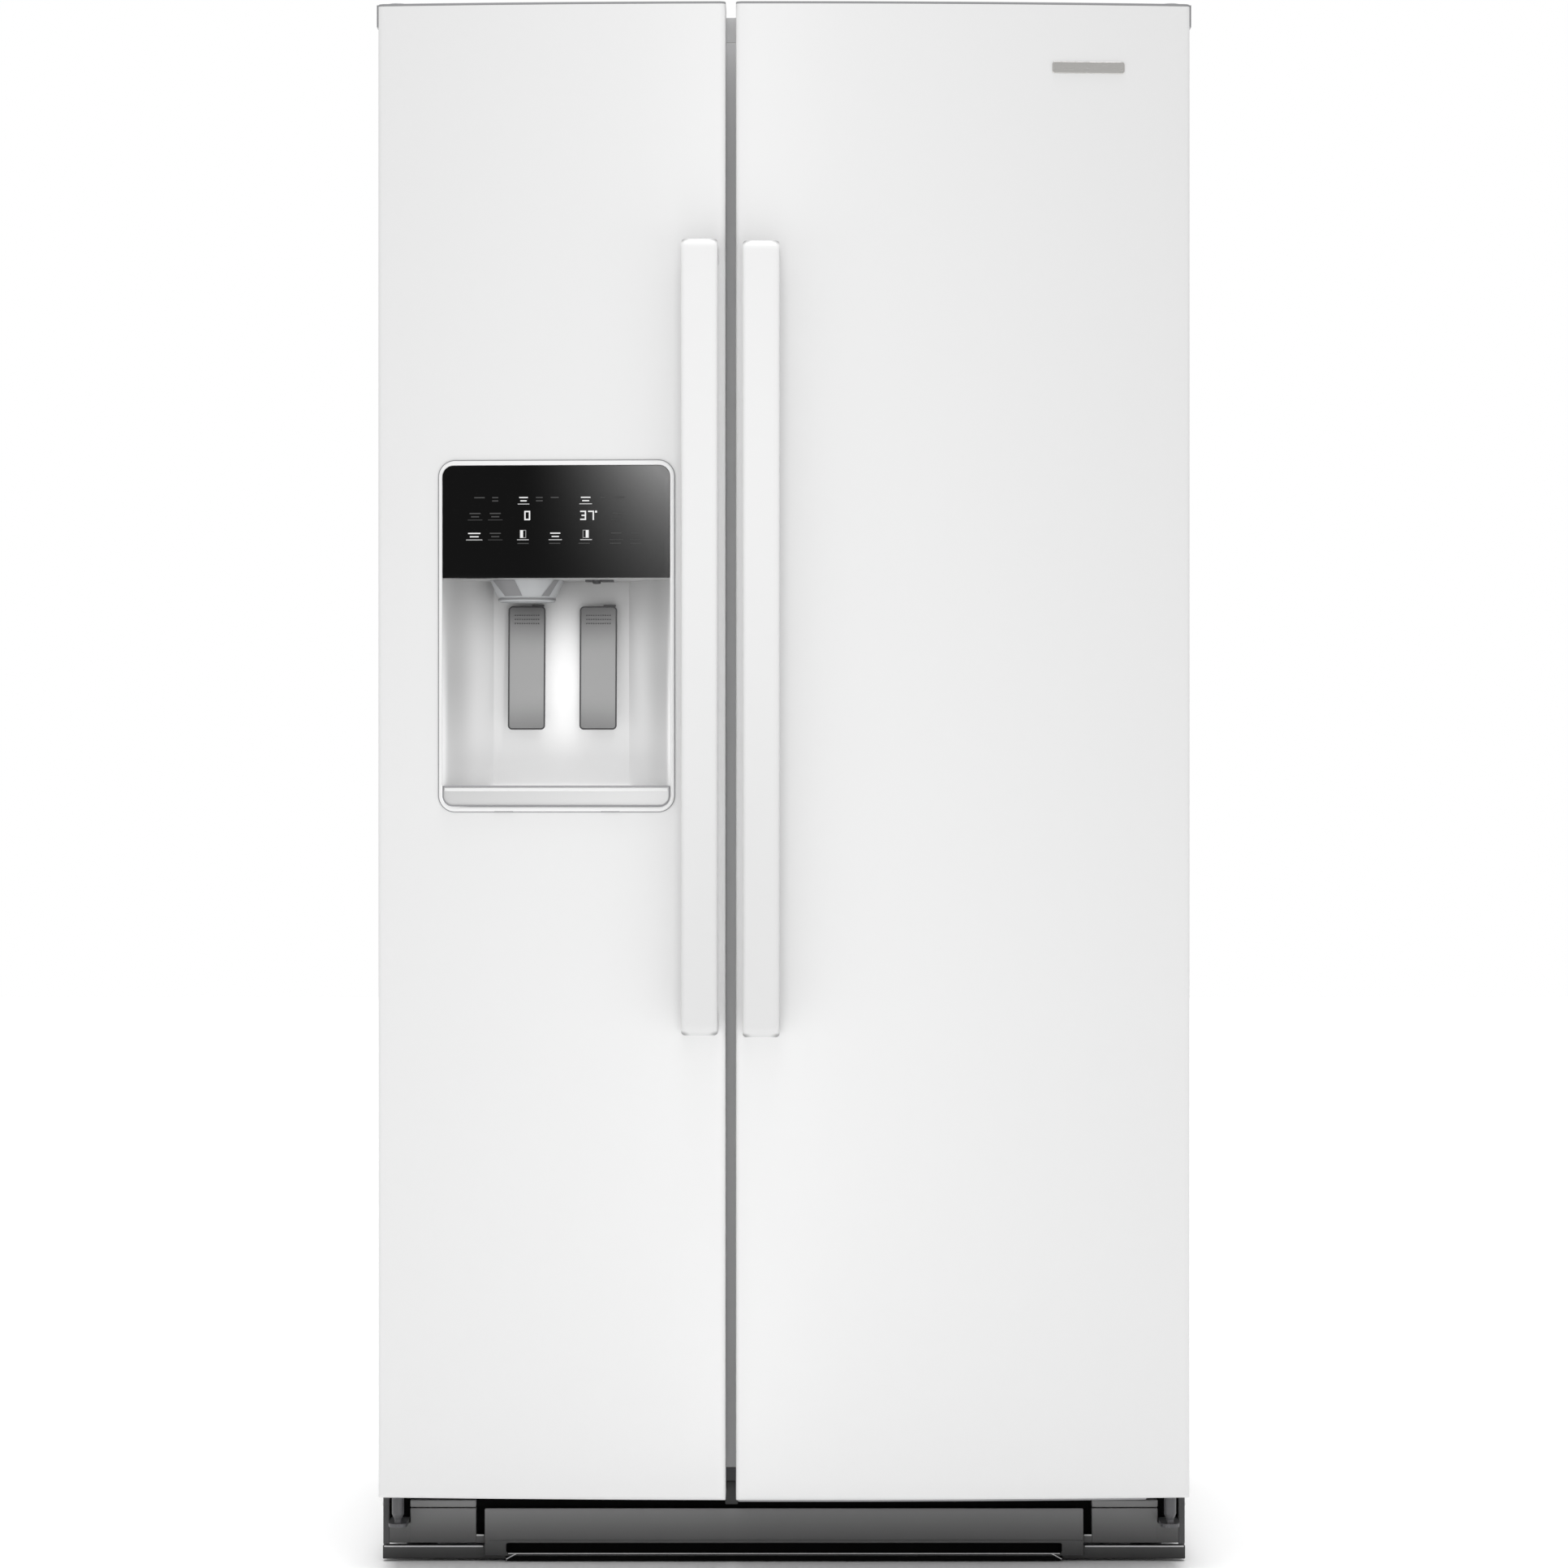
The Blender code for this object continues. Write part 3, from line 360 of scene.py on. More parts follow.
def carried(profile, x, z, corner, place, **steps):
    """Grid of points: each profile row (inset, depth) is the outline drawn in by inset and placed at depth."""
    half = min(x[1] - x[0], z[1] - z[0]) / 2
    rows = []
    for inset, depth in profile:
        inset = min(inset, half)
        round_by = np.asarray(corner) - inset
        flat = outline((x[0] + inset, x[1] - inset), (z[0] + inset, z[1] - inset), round_by, **steps)
        rows.append(place(flat[:, 0], flat[:, 1], depth))
    return np.array(rows)


print(len(outline((0, 1), (0, 1), 0.1)), "points round an outline")

# %% [markdown]
# The mesh maker joins neighbouring points of a grid with quads, closes the ends where it is told to, merges
# seams and poles, and turns the faces outwards. The piece maker then gives the mesh its object, its finish and
# the body that it rides on.


# %% Mesh and piece makers
def shell(name, grid, ring=False, caps=False):
    """Closed mesh from a (rows, columns, 3) grid whose columns run round.

    Ring joins the last row to the first, and caps closes both ends with a flat face.
    """
    rows, columns = grid.shape[:2]
    index = np.arange(rows * columns).reshape(rows, columns)
    index = np.hstack([index, index[:, :1]])
    if ring:
        index = np.vstack([index, index[:1]])
    quads = np.stack([index[:-1, :-1], index[:-1, 1:], index[1:, 1:], index[1:, :-1]], -1).reshape(-1, 4)
    faces = quads.tolist()
    if caps:
        faces += [index[0, :-1][::-1].tolist(), index[-1, :-1].tolist()]
    mesh = bpy.data.meshes.new(name)
    mesh.from_pydata(grid.reshape(-1, 3).tolist(), [], faces)
    tidy(mesh)
    return mesh


def tidy(mesh, distance=2e-6):
    """Merges seams and poles, and points the faces outwards by the sign of the enclosed volume."""
    bm = bmesh.new()
    bm.from_mesh(mesh)
    bmesh.ops.remove_doubles(bm, verts=bm.verts, dist=distance)
    if bm.calc_volume(signed=True) < 0:
        bmesh.ops.reverse_faces(bm, faces=bm.faces)
    bm.to_mesh(mesh)
    bm.free()


def piece(name, mesh, body, slot, look=None, stands_for=(), sharp=35):
    """Object from a mesh: smooth up to the sharp angle, riding on a body, with its finish."""
    mesh.name = name
    mesh.shade_smooth()
    mesh.set_sharp_from_angle(angle=math.radians(sharp))
    obj = bpy.data.objects.new(name, mesh)
    bpy.context.scene.collection.objects.link(obj)
    mesh.materials.clear()
    mesh.materials.append(look or FINISHES[slot])
    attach(obj, body)
    if stands_for:
        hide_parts(*stands_for)
    print(name, len(mesh.polygons), "faces")
    return obj


def gathered(meshes):
    """One mesh from several, for a piece made of many small closed bodies."""
    bm = bmesh.new()
    for mesh in meshes:
        bm.from_mesh(mesh)
        bpy.data.meshes.remove(mesh)
    made = bpy.data.meshes.new("gathered")
    bm.to_mesh(made)
    bm.free()
    return made


# %% [markdown]
# Three shapes come up again and again: a plate with a rounded edge, something turned about an axis, and a rod.
# A plate is laid out flat and a placer puts it in space, so the same plate can face the room, lie level or
# follow the bow of a door.


# %% Plates, turned shapes and rods
def quarter(radius, steps=5):
    """Rounded edge as (inset, depth) pairs, from the face round to the side."""
    angle = np.linspace(0, math.pi / 2, steps + 1)
    return [(radius * (1 - math.sin(a)), radius * (1 - math.cos(a))) for a in angle]


def slab(x, z, place, thick, edge, corner=0.001, rows=1, **steps):
    """Closed plate: the face grows from the middle line to a rounded edge, then turns back to depth thick."""
    half = min(x[1] - x[0], z[1] - z[0]) / 2
    face = [(inset, 0.0) for inset in np.linspace(half, edge, rows + 1)[:-1]]
    back = [(0.0, thick), *[(inset, thick) for inset in np.linspace(0, half, rows + 1)[1:]]]
    return shell("slab", carried(face + quarter(edge) + back, x, z, corner, place, **steps))


def facing(y):
    """Places an outline in a plane that faces the room, at y plus depth."""
    return lambda x, z, depth: np.stack([x, np.full_like(x, y + depth), z], -1)


def lying(z):
    """Places an outline in a level plane, at z less depth."""
    return lambda x, y, depth: np.stack([x, y, np.full_like(x, z - depth)], -1)


def turned(profile, centre, squash=1.0, axis="Z", steps=40):
    """Rows of (radius, height) turned about an upright axis, or one along X or Y.

    Squash flattens the ring in depth, so a round funnel becomes an oval one.
    """
    angle = np.linspace(0, 2 * math.pi, steps, endpoint=False)
    radius, height = np.array(profile, float).T
    a, b = radius[:, None] * np.cos(angle), radius[:, None] * np.sin(angle) * squash
    up = np.broadcast_to(height[:, None], a.shape)
    grid = {"Z": (a, b, up), "X": (up, a, b), "Y": (b, up, a)}[axis]
    return np.stack(grid, -1) + np.array(centre, float)


def rod(start, end, radius, sides=8):
    """Round bar between two points, with flat ends."""
    start, end = np.array(start, float), np.array(end, float)
    way = (end - start) / np.linalg.norm(end - start)
    side = np.cross(way, (0, 0, 1) if abs(way[2]) < 0.9 else (1, 0, 0))
    side /= np.linalg.norm(side)
    angle = np.linspace(0, 2 * math.pi, sides, endpoint=False)[:, None]
    ring = radius * (np.cos(angle) * side + np.sin(angle) * np.cross(way, side))
    return shell("rod", np.array([start + ring, end + ring]), caps=True)


print("plate edge in", len(quarter(0.001)), "steps")

# %% [markdown]
# ## Door skins
#
# Each door is one sheet of painted steel, bowed about its upright axis as if both doors were cut from one wide
# arc. The sheet turns back round a five millimetre edge. A flat grid would show its facets in the gloss, so
# the face is built from loops that grow from the dispenser opening, or from a line up the middle of the right
# door, out to the edge, and every point is put on the arc: depth equals bow times one minus (x / edge) squared.

# %% Door skins
DOOR_EDGE, BOW, SHEET = 0.4535, 0.019, 0.0012
DOORS = {"freezer": (-DOOR_EDGE, -0.065), "refrigerator": (-0.0535, DOOR_EDGE)}
DOOR_LOW, SKIN_TOP, SKIN_BACK = 0.080, 1.7465, -0.3115
OPENING = (-0.3825, -0.1245, 0.8495, 1.2355)


def door_front(x):
    """Y of the bowed front of both doors."""
    return DOOR_PLANE - BOW * (1 - (x / DOOR_EDGE) ** 2)


def skin_grid(x, opening):
    """Loops of a door skin: out over the face, round the edge, back along the sides and in again inside."""
    steps = {"across": 26, "down": 90, "turn": 4}
    edge = 0.005

    def rim(inset):
        """Outline of the door drawn in by inset on three sides; the top stays in place, under its cap."""
        flat = outline((x[0] + inset, x[1] - inset), (DOOR_LOW + inset, SKIN_TOP), 0.0012, **steps)
        return flat[:, 0], flat[:, 1]

    outer = np.stack(rim(0), -1)
    on_top = outer[:, 1] > SKIN_TOP - 0.0004
    if opening:
        heart = outline(opening[:2], opening[2:], 0.0155, **steps)
    else:
        middle = sum(x) / 2
        heart = outline((middle, middle), (DOOR_LOW + 0.2, SKIN_TOP - 0.2), 0, **steps)

    def level(flat, depth):
        """Points at a depth behind the bowed front; along the top edge the sheet is only its own thickness."""
        depth = np.where(on_top, min(depth, SHEET), depth)
        return np.stack([flat[:, 0], door_front(flat[:, 0]) + depth, flat[:, 1]], -1)

    face = np.stack(rim(edge), -1)
    rows = [level(heart * (1 - t) + face * t, 0.0) for t in np.linspace(0, 1, 13)]
    rows += [level(np.stack(rim(inset), -1), depth) for inset, depth in quarter(edge)[1:]]
    back = level(outer, 0)
    back[:, 1] = np.where(on_top, back[:, 1] + SHEET, SKIN_BACK)
    inner = level(np.stack(rim(SHEET), -1), 0)
    inner[:, 1] = np.where(on_top, inner[:, 1] + SHEET, SKIN_BACK)
    turned_in = level(np.stack(rim(SHEET), -1), edge)
    inside = [level(heart * (1 - t) + face * t, SHEET) for t in np.linspace(1, 0, 9)]
    return np.array(rows + [back, inner, turned_in] + inside)


for door, x in DOORS.items():
    hole = OPENING if door == "freezer" else None
    mesh = shell(f"{door}_skin", skin_grid(x, hole), ring=hole is not None)
    piece(f"{door}_skin", mesh, f"{door}_door", "white_enamel", stands_for=[f"{door}_door_skin"], sharp=50)

# %% [markdown]
# A slim grey strip closes the underside of the right door. It is a flat outline whose front side follows the
# bow, with a profile that steps in at its rim.

# %% Lower trim of the refrigerator door
TRIM_Y, TRIM_MIDDLE = (-0.3600, -0.3200), -0.34
edge = [(0.0400, 0.0004), (0.0020, 0.0018), (0.0006, 0.0018), (0.0, 0.0012), (0.0, -0.0002), (0.0400, -0.0002)]


def under_door(x, y, depth):
    """Places an outline just under the door, with its front side 4.6 mm behind the bowed front."""
    shift = np.where(y < TRIM_MIDDLE, door_front(x) + 0.0046 - TRIM_Y[0], 0)
    return np.stack([x, y + shift, np.full_like(x, DOOR_LOW - depth)], -1)


trim = shell("trim", carried(edge, (-0.0515, 0.4050), TRIM_Y, 0.0030, under_door, across=40, down=6))
piece("lower_trim", trim, "refrigerator_door", "grey_plastic")

# %% [markdown]
# ## Bar handles
#
# A handle is a flat bar forty millimetres wide that turns back into the door at each end. It is a rounded
# rectangular section carried along a bent path. The path gives each station an outer and an inner point, and
# the section is stretched between them, so its thickness can grow at the feet while its edge radius stays true.
# Painted shade makes the enamel a little greyer towards the lower end and in the bends; soft spots put it in.

# %% Handle finish
HANDLE_FRONT, HANDLE_BACK = -0.433, -0.415
HANDLES = {"freezer": (-0.1134, -0.0732, 0.6000), "refrigerator": (-0.0456, -0.0050, 0.5980)}
HANDLE_TALL = 0.879
BENDS = (0.001, HANDLE_TALL - 0.001)
corners = [(x, low + rise) for (*both, low) in HANDLES.values() for x in both for rise in BENDS]
# Painted shade: greyer towards the lower end and dark at the eight corners where the bars bend.
HANDLE_SHADES = [((-0.06, -0.43, 0.45), (0.3, 0.3, 1.0), 0.25)]
HANDLE_SHADES += [((x, -0.424, z), (0.0125, 0.030, 0.0060), 0.95) for x, z in corners]
HANDLE_LOOK = moulding_with_painted_light("handle_enamel_painted_shade", (0.78,) * 3, (0.30,) * 3, HANDLE_SHADES, [])
print("handle finish", HANDLE_LOOK.name, "with", len(HANDLE_SHADES), "shades")


# %% Handles
def handle_grid(x, low):
    """Sections of one handle: outer and inner points up the bottom foot, the bar and the top foot."""
    turn = np.radians(np.linspace(0, 90, 9))
    foot = door_front(x[1]) - 0.0004
    outer = [(foot, 0.0), (-0.395, 0.0)]
    outer += [(HANDLE_FRONT + 0.012 * (1 - math.sin(a)), 0.012 * (1 - math.cos(a))) for a in turn]
    inner = [(foot, 0.026), (-0.395, 0.026)]
    inner += [(HANDLE_BACK + 0.010 * (1 - math.sin(a)), 0.026 + 0.010 * (1 - math.cos(a))) for a in turn]
    rise = np.linspace(0.05, 0.12, 3)
    outer, inner = np.array(outer), np.array(inner)
    outer = np.vstack([outer, np.stack([np.full(3, HANDLE_FRONT), rise], -1)])
    inner = np.vstack([inner, np.stack([np.full(3, HANDLE_BACK), rise], -1)])
    flip = np.array([(0, HANDLE_TALL)])
    outer = np.vstack([outer, flip + outer[::-1] * (1, -1)])
    inner = np.vstack([inner, flip + inner[::-1] * (1, -1)])
    wide, rows = x[1] - x[0], []
    for a, b in zip(outer, inner):
        thick = float(np.hypot(*(b - a)))
        flat = outline((0, wide), (0, thick), 0.0042, across=10, down=4, turn=5)
        at = a + (b - a) * (flat[:, 1:] / thick)
        rows.append(np.stack([x[0] + flat[:, 0], at[:, 0], low + at[:, 1]], -1))
    return np.array(rows)


for door, (*x, low) in HANDLES.items():
    mesh = shell(f"{door}_handle", handle_grid(x, low), caps=True)
    body = f"{door}_door"
    piece(f"{door}_handle", mesh, body, "white_enamel", HANDLE_LOOK, stands_for=[f"{door}_door_handle"])

# %% [markdown]
# ## Dispenser bezel and recess
#
# The bezel is a slim white ring with a rounded crown, carried round the opening and bowed with the door. A thin
# grey band outside it paints the shadow in the gap between the bezel and the door.

# %% Bezel and painted gap shadow
DISPENSER = ((-0.385, -0.122), (0.847, 1.238))
RECESS = (-0.381, -0.126, 0.876, 1.107)


def on_door(x, z, depth):
    """Places an outline at a depth behind the bowed door front."""
    return np.stack([x, door_front(x) + depth, z], -1)


fine = {"across": 28, "down": 30, "turn": 12}
outer = outline(*DISPENSER, 0.018, **fine)
inner = outline((-0.3809, -0.1270), (0.8528, 1.2327), 0.0124, **fine)
crown = [(0.06, -0.0003), (0.02, -0.0020), (0.06, -0.0029), (0.20, -0.0034), (0.50, -0.0036), (0.80, -0.0034)]
crown += [(0.92, -0.0029), (0.98, -0.0020), (1.0, 0.0100), (0.75, 0.0100), (0.70, -0.0003)]
grid = [on_door(*(outer * (1 - share) + inner * share).T, depth) for share, depth in crown]
mesh = shell("bezel", np.array(grid), ring=True)
piece("dispenser_bezel", mesh, "freezer_door", "white_plastic", stands_for=["dispenser_housing"])

# A thin grey band round the bezel paints the shadow in the gap between bezel and door.
band = [(-0.0009, -0.0002), (-0.0009, -0.0010), (0.0001, -0.0011), (0.0002, -0.0002)]
mesh = shell("seal", carried(band, *DISPENSER, 0.018, on_door, **fine), ring=True)
piece("dispenser_gap_shadow", mesh, "freezer_door", "grey_plastic")

# %% [markdown]
# Inside, the recess is one pale moulding, with its light and shade painted into the finish: a painted glow on the
# middle and lower rear wall, as from a lamp hidden over the paddles, painted shade on the ceiling and both sides,
# and thin painted highlights up the front edges of the side walls. They are soft spots in object coordinates, so
# that they travel with the door when it opens.

# %% Recess finish
# Painted shade on the ceiling and on both side walls of the recess.
SHADES = [
    ((-0.2475, -0.300, 1.125), (0.30, 0.30, 0.130), 0.86),
    ((-0.3660, -0.345, 0.985), (0.034, 0.06, 0.22), 0.45),
    ((-0.1420, -0.345, 0.985), (0.034, 0.06, 0.22), 0.40),
]
# Painted glow on the middle and lower rear wall, and painted highlights up the front edges of both side walls.
GLOWS = [
    ((-0.2480, -0.300, 1.000), (0.056, 0.30, 0.120), 0.34),
    ((-0.2480, -0.300, 0.905), (0.260, 0.30, 0.150), 0.17),
    ((-0.2480, -0.300, 0.870), (0.300, 0.30, 0.048), 0.15),
    ((-0.3820, -0.366, 0.950), (0.0085, 0.20, 0.195), 0.30),
    ((-0.1250, -0.366, 0.950), (0.0090, 0.20, 0.195), 0.52),
]
RECESS_LOOK = moulding_with_painted_light("recess_plastic_painted_light", (0.80, 0.80, 0.80), (0.26, 0.26, 0.26), SHADES, GLOWS)
print("recess finish", RECESS_LOOK.name)

# %% [markdown]
# The recess wall is drawn in plan and raised. Its inner and outer lines make one closed loop, so the wall has a
# real thickness. Each side leaves the bezel nearly straight back and bends into the rear wall: along the way s,
# x is the start plus a reach times s to the power 1.6. The right side reaches a little less than the left one.


# %% Recess wall
def walled(line, thick):
    """Thin wall from an open line: the line itself, then the same line moved to its left, walked back."""
    along = np.gradient(line, axis=0)
    along /= np.linalg.norm(along, axis=1)[:, None]
    away = np.stack([-along[:, 1], along[:, 0]], -1)
    return np.vstack([line, (line + away * thick)[::-1]])


def recess_plan(steps=28):
    """Plan of the recess wall: both curved sides and the flat rear, inner line out and outer line back."""
    s, start, reach = np.linspace(0, 1, steps), -0.366, 0.066
    sides = [(RECESS[0], 0.053), (RECESS[1], -0.049)]
    near, far = (np.stack([end + out * s**1.6, start + reach * s], -1) for end, out in sides)
    rear = np.linspace(near[-1, 0], far[-1, 0], 12)[1:-1]
    return walled(np.vstack([near, np.stack([rear, np.full(10, start + reach)], -1), far[::-1]]), 0.0016)


plan = recess_plan()
levels = np.linspace(RECESS[2] - 0.0004, RECESS[3] - 0.0004, 12)
wall = np.stack([np.column_stack([plan, np.full(len(plan), z)]) for z in levels])
piece("recess_wall", shell("wall", wall, caps=True), "freezer_door", "grey_plastic", RECESS_LOOK)

# %% [markdown]
# The ceiling is a plate with an oval hole for the ice chute. Its loops run from the hole out to the walls, along
# the underside and back along the top, and its front edge follows the bow. A strip at the foot of the rear wall
# closes the recess above the tray.

# %% Recess ceiling and floor strip
CHUTE = (-0.2885, -0.331)
x, y = (RECESS[0] + 0.0004, RECESS[1] - 0.0004), (-0.3690, -0.3016)
steps = {"across": 20, "down": 8, "turn": 8}
hole_x, hole_y = (CHUTE[0] - 0.0412, CHUTE[0] + 0.0412), (CHUTE[1] - 0.0302, CHUTE[1] + 0.0290)
hole = outline(hole_x, hole_y, 0.029, **steps)
outer = outline(x, y, 0.004, **steps)
flat = [hole, hole * 0.5 + outer * 0.5, outer, outer, hole * 0.5 + outer * 0.5, hole]
height = [1.1066] * 3 + [1.1082] * 3
ceiling = np.stack([np.column_stack([f, np.full(len(f), z)]) for f, z in zip(flat, height)])
ceiling[2:4, :, 1] = np.where(outer[:, 1] < -0.36, door_front(outer[:, 0]) + 0.004, outer[:, 1])
piece("recess_ceiling", shell("ceiling", ceiling, ring=True), "freezer_door", "grey_plastic", RECESS_LOOK)
base = slab(x, (-0.3030, -0.2996), lying(0.8768), 0.0016, 0.0004, rows=1)
piece("recess_floor_edge", base, "freezer_door", "grey_plastic", RECESS_LOOK)

# %% [markdown]
# Under the tray the housing goes on as a shallow well with rounded lower corners, which shows when the tray is
# pulled out. Its section is drawn as one line, given a thickness like the recess wall, and run from front to
# back.


# %% Tray well
WELL_X, WELL_TOP, WELL_Y = (-0.3811, -0.1259), 0.8764, (-0.3690, -0.2996)


def trough(x, z, corner, steps=9):
    """Section of the well under the tray: down its right side, round a quarter circle, along, round and up."""
    angle, low = np.linspace(0, math.pi / 2, steps), z[0] + corner
    right = np.stack([x[1] - corner + corner * np.cos(angle), low - corner * np.sin(angle)], -1)
    left = np.stack([x[0] + corner - corner * np.sin(angle), low - corner * np.cos(angle)], -1)
    return np.vstack([[(x[1], z[1])], right, left, [(x[0], z[1])]])


section = walled(trough(WELL_X, (0.8526, WELL_TOP), 0.0125), 0.0007)
across, up = section.T
well = [shell("trough", np.stack([np.stack([across, np.full_like(up, y), up], -1) for y in WELL_Y]), caps=True)]
well.append(slab(WELL_X, (0.8520, WELL_TOP), facing(-0.3009), 0.0009, 0.0003))
piece("tray_well", gathered(well), "freezer_door", "grey_plastic", RECESS_LOOK)

# %% [markdown]
# The water outlet is a stepped round nozzle under the ceiling, in a small bracket.

# %% Water outlet
OUTLET_TOP = 1.1064
nozzle = [(0, 1.1024), (0.0036, 1.1024), (0.0045, 1.1030), (0.0045, 1.1050), (0.0085, 1.1054)]
nozzle += [(0.0085, OUTLET_TOP), (0, OUTLET_TOP)]
parts = [shell("tip", turned(nozzle, (-0.2100, -0.338, 0), steps=24))]
ears = ((-0.2225, -0.2140), (-0.2050, -0.1909))
parts += [slab(ends, (-0.347, -0.329), lying(OUTLET_TOP), 0.0018, 0.0005) for ends in ears]
piece("water_outlet", gathered(parts), "freezer_door", "dark_plastic")

# %% [markdown]
# ## Control panel
#
# Smoked glass over the controls, bowed like the door. The glass is nearly black on the left and carries a painted
# sheen that grows towards its upper right corner, so its finish goes from one grey to another across the glass,
# and the lighter one dims downwards.

# %% Control panel
PANEL_X, PANEL_Z = (-0.3807, -0.1272), (1.1073, 1.2325)
PANEL_PROUD = 0.0030
# Painted sheen: the glass turns lighter towards its upper right, and the light end dims downwards.
PAINTED_SHEEN = {"power": 2.3, "fade": (14.0, 1.2176), "relief": (60, 0.002), "specular": 0.08}
panel_painted_sheen = graded("glass_painted_sheen", (0.0035,) * 3, (0.25,) * 3, (-0.300, 0, 0), (-0.131, 0, 0), **PAINTED_SHEEN)


def on_panel(x, z, depth):
    """Places an outline at a depth behind the front of the panel."""
    return np.stack([x, door_front(x) - PANEL_PROUD + depth, z], -1)


CORNERS = (0.0006, 0.0122, 0.0122, 0.0006)
glass = slab(PANEL_X, PANEL_Z, on_panel, 0.0048, 0.0007, CORNERS, rows=10, turn=10, across=24)
piece("control_glass", glass, "freezer_door", "black_glass", panel_painted_sheen, stands_for=["control_panel"])

# %% [markdown]
# The printed marks are plain bars, three figures with seven strokes at most and two small door signs, with no
# lettering. Places are in millimetres from the upper left corner of the glass, and each mark keeps its
# brightness as an attribute that the finish reads, so one small mesh holds them all.

# %% Panel marks
BRIGHT, MIDDLE, FAINT = 0.85, 0.16, 0.055
marks = []


def bar(x0, x1, top, bottom, glow):
    """Plain bar from x0 to x1 and from top to bottom."""
    marks.append((x0, x1, top, bottom, glow))


def label(x0, x1, top, glow, lines=2, rule=True):
    """One or two short bars for a word or two, with a rule under them."""
    middle, half = (x0 + x1) / 2, (x1 - x0) / 2
    for k in range(lines):
        reach = half * (1.0, 0.72)[k] if rule else half
        bar(middle - reach * 0.76, middle + reach * 0.76, top + 3.7 * k - 0.6, top + 3.7 * k + 0.7, glow)
    if rule:
        bar(x0, x1, top + 7.0, top + 7.6, glow)


STROKES = {"0": "abcdef", "3": "abcdg", "7": "abc"}


def figure(digit, x0, top, wide=6.6, high=10.4, line=1.5):
    """Seven stroke figure: a top, b and c right, d bottom, e and f left, g middle."""
    x1, bottom, middle = x0 + wide, top + high, top + high / 2
    strokes = {
        "a": (x0, x1, top, top + line), "d": (x0, x1, bottom - line, bottom),
        "g": (x0 + line, x1, middle - line / 2, middle + line / 2),
        "b": (x1 - line, x1, top, middle), "c": (x1 - line, x1, middle, bottom),
        "f": (x0, x0 + line, top, middle), "e": (x0, x0 + line, middle, bottom),
    }
    for stroke in STROKES[digit]:
        bar(*strokes[stroke], BRIGHT)


def door_sign(x0, top, left):
    """Small upright rectangle with one half filled."""
    bar(x0, x0 + 7.0, top, top + 0.7, MIDDLE * 2)
    bar(x0, x0 + 7.0, top + 8.3, top + 9.0, MIDDLE * 2)
    bar(x0, x0 + 0.7, top, top + 9.0, MIDDLE * 2)
    bar(x0 + 6.3, x0 + 7.0, top, top + 9.0, MIDDLE * 2)
    bar(*((x0 + 0.6, x0 + 3.6) if left else (x0 + 3.4, x0 + 6.4)), top + 0.4, top + 8.6, BRIGHT)


print("figures", sorted(STROKES))

# %% [markdown]
# The marks stand in three rows: labels over the figures, the figures with a column of labels on either side,
# and signs with their labels under them.

# %% Rows of marks
for x0, x1, glow, lines, rule in (
    (33.6, 49.0, FAINT, 1, False), (54.4, 63.4, FAINT, 2, False), (84.2, 97.0, BRIGHT, 2, True),
    (103.2, 113.2, FAINT, 2, False), (119.5, 131.2, FAINT, 1, False), (152.9, 167.0, BRIGHT, 2, True),
    (175.5, 182.7, FAINT, 1, False), (190.9, 205.0, FAINT, 1, False),
):
    label(x0, x1, 35.6, glow, lines, rule)
for x0, x1, lines in ((28.2, 44.5, 2), (50.8, 67.1, 2), (188.0, 202.0, 1)):
    label(x0, x1, 53.2, FAINT, lines)
for x0, x1, glow, lines in (
    (26.4, 44.5, BRIGHT, 2), (50.8, 67.1, FAINT, 2), (83.3, 96.4, BRIGHT, 0), (118.6, 133.4, BRIGHT, 2),
    (153.8, 167.0, BRIGHT, 0), (186.4, 201.7, FAINT, 1), (209.0, 220.7, FAINT, 1),
):
    label(x0, x1, 75.4, glow, lines)
for x0 in (83.3, 118.6, 151.5, 186.4, 209.0):
    bar(x0 + 0.5, x0 + 13.0, 86.2, 87.2, FAINT)
figure("0", 91.4, 50.5)
figure("3", 153.8, 50.5)
figure("7", 162.6, 50.5)
bar(170.4, 172.6, 50.5, 52.7, BRIGHT)
door_sign(86.4, 71.8, True)
door_sign(156.6, 71.8, False)
print("marks", len(marks))

# %% [markdown]
# Each mark is a thin box, and each of its corners is set on the bowed glass by itself, so a wide mark doesn't
# sink into the bow.

# %% Mesh and finish of the marks
sizes = np.array(marks) / (1000, 1000, 1000, 1000, 1)
x0, x1 = PANEL_X[0] + sizes[:, 0], PANEL_X[0] + sizes[:, 1]
z1, z0 = PANEL_Z[1] - sizes[:, 2], PANEL_Z[1] - sizes[:, 3]
corners = [(x0, z0), (x1, z0), (x1, z1), (x0, z1)]
places = np.stack([on_panel(x, z, depth) for depth in (-0.0003, 0.0001) for x, z in corners], 1)
cube = np.array([(0, 1, 2, 3), (7, 6, 5, 4), (0, 4, 5, 1), (1, 5, 6, 2), (2, 6, 7, 3), (3, 7, 4, 0)])
faces = (cube[None] + 8 * np.arange(len(places))[:, None, None]).reshape(-1, 4)
mesh = grid_mesh("marks", places, faces)
glow = mesh.attributes.new("glow", "FLOAT", "POINT")
glow.data.foreach_set("value", np.repeat(sizes[:, 4], 8))
mark_look = finish("panel_print", (0.02, 0.02, 0.02), (0.4, 0.5), shift=0.2, relief=(900, 0.01), specular=0.05)
reader = mark_look.node_tree.nodes.new("ShaderNodeAttribute")
reader.attribute_name = "glow"
socket = mark_look.node_tree.nodes["Principled BSDF"].inputs
mark_look.node_tree.links.new(reader.outputs["Fac"], socket["Emission Strength"])
socket["Emission Color"].default_value = (1, 1, 1, 1)
piece("panel_marks", mesh, "freezer_door", "black_glass", mark_look, sharp=20)

# %% [markdown]
# ## Ice chute
#
# The chute is an oval funnel of milky plastic, turned from a profile and flattened. Its profile goes up the
# outside and down the inside, so the funnel has a wall.

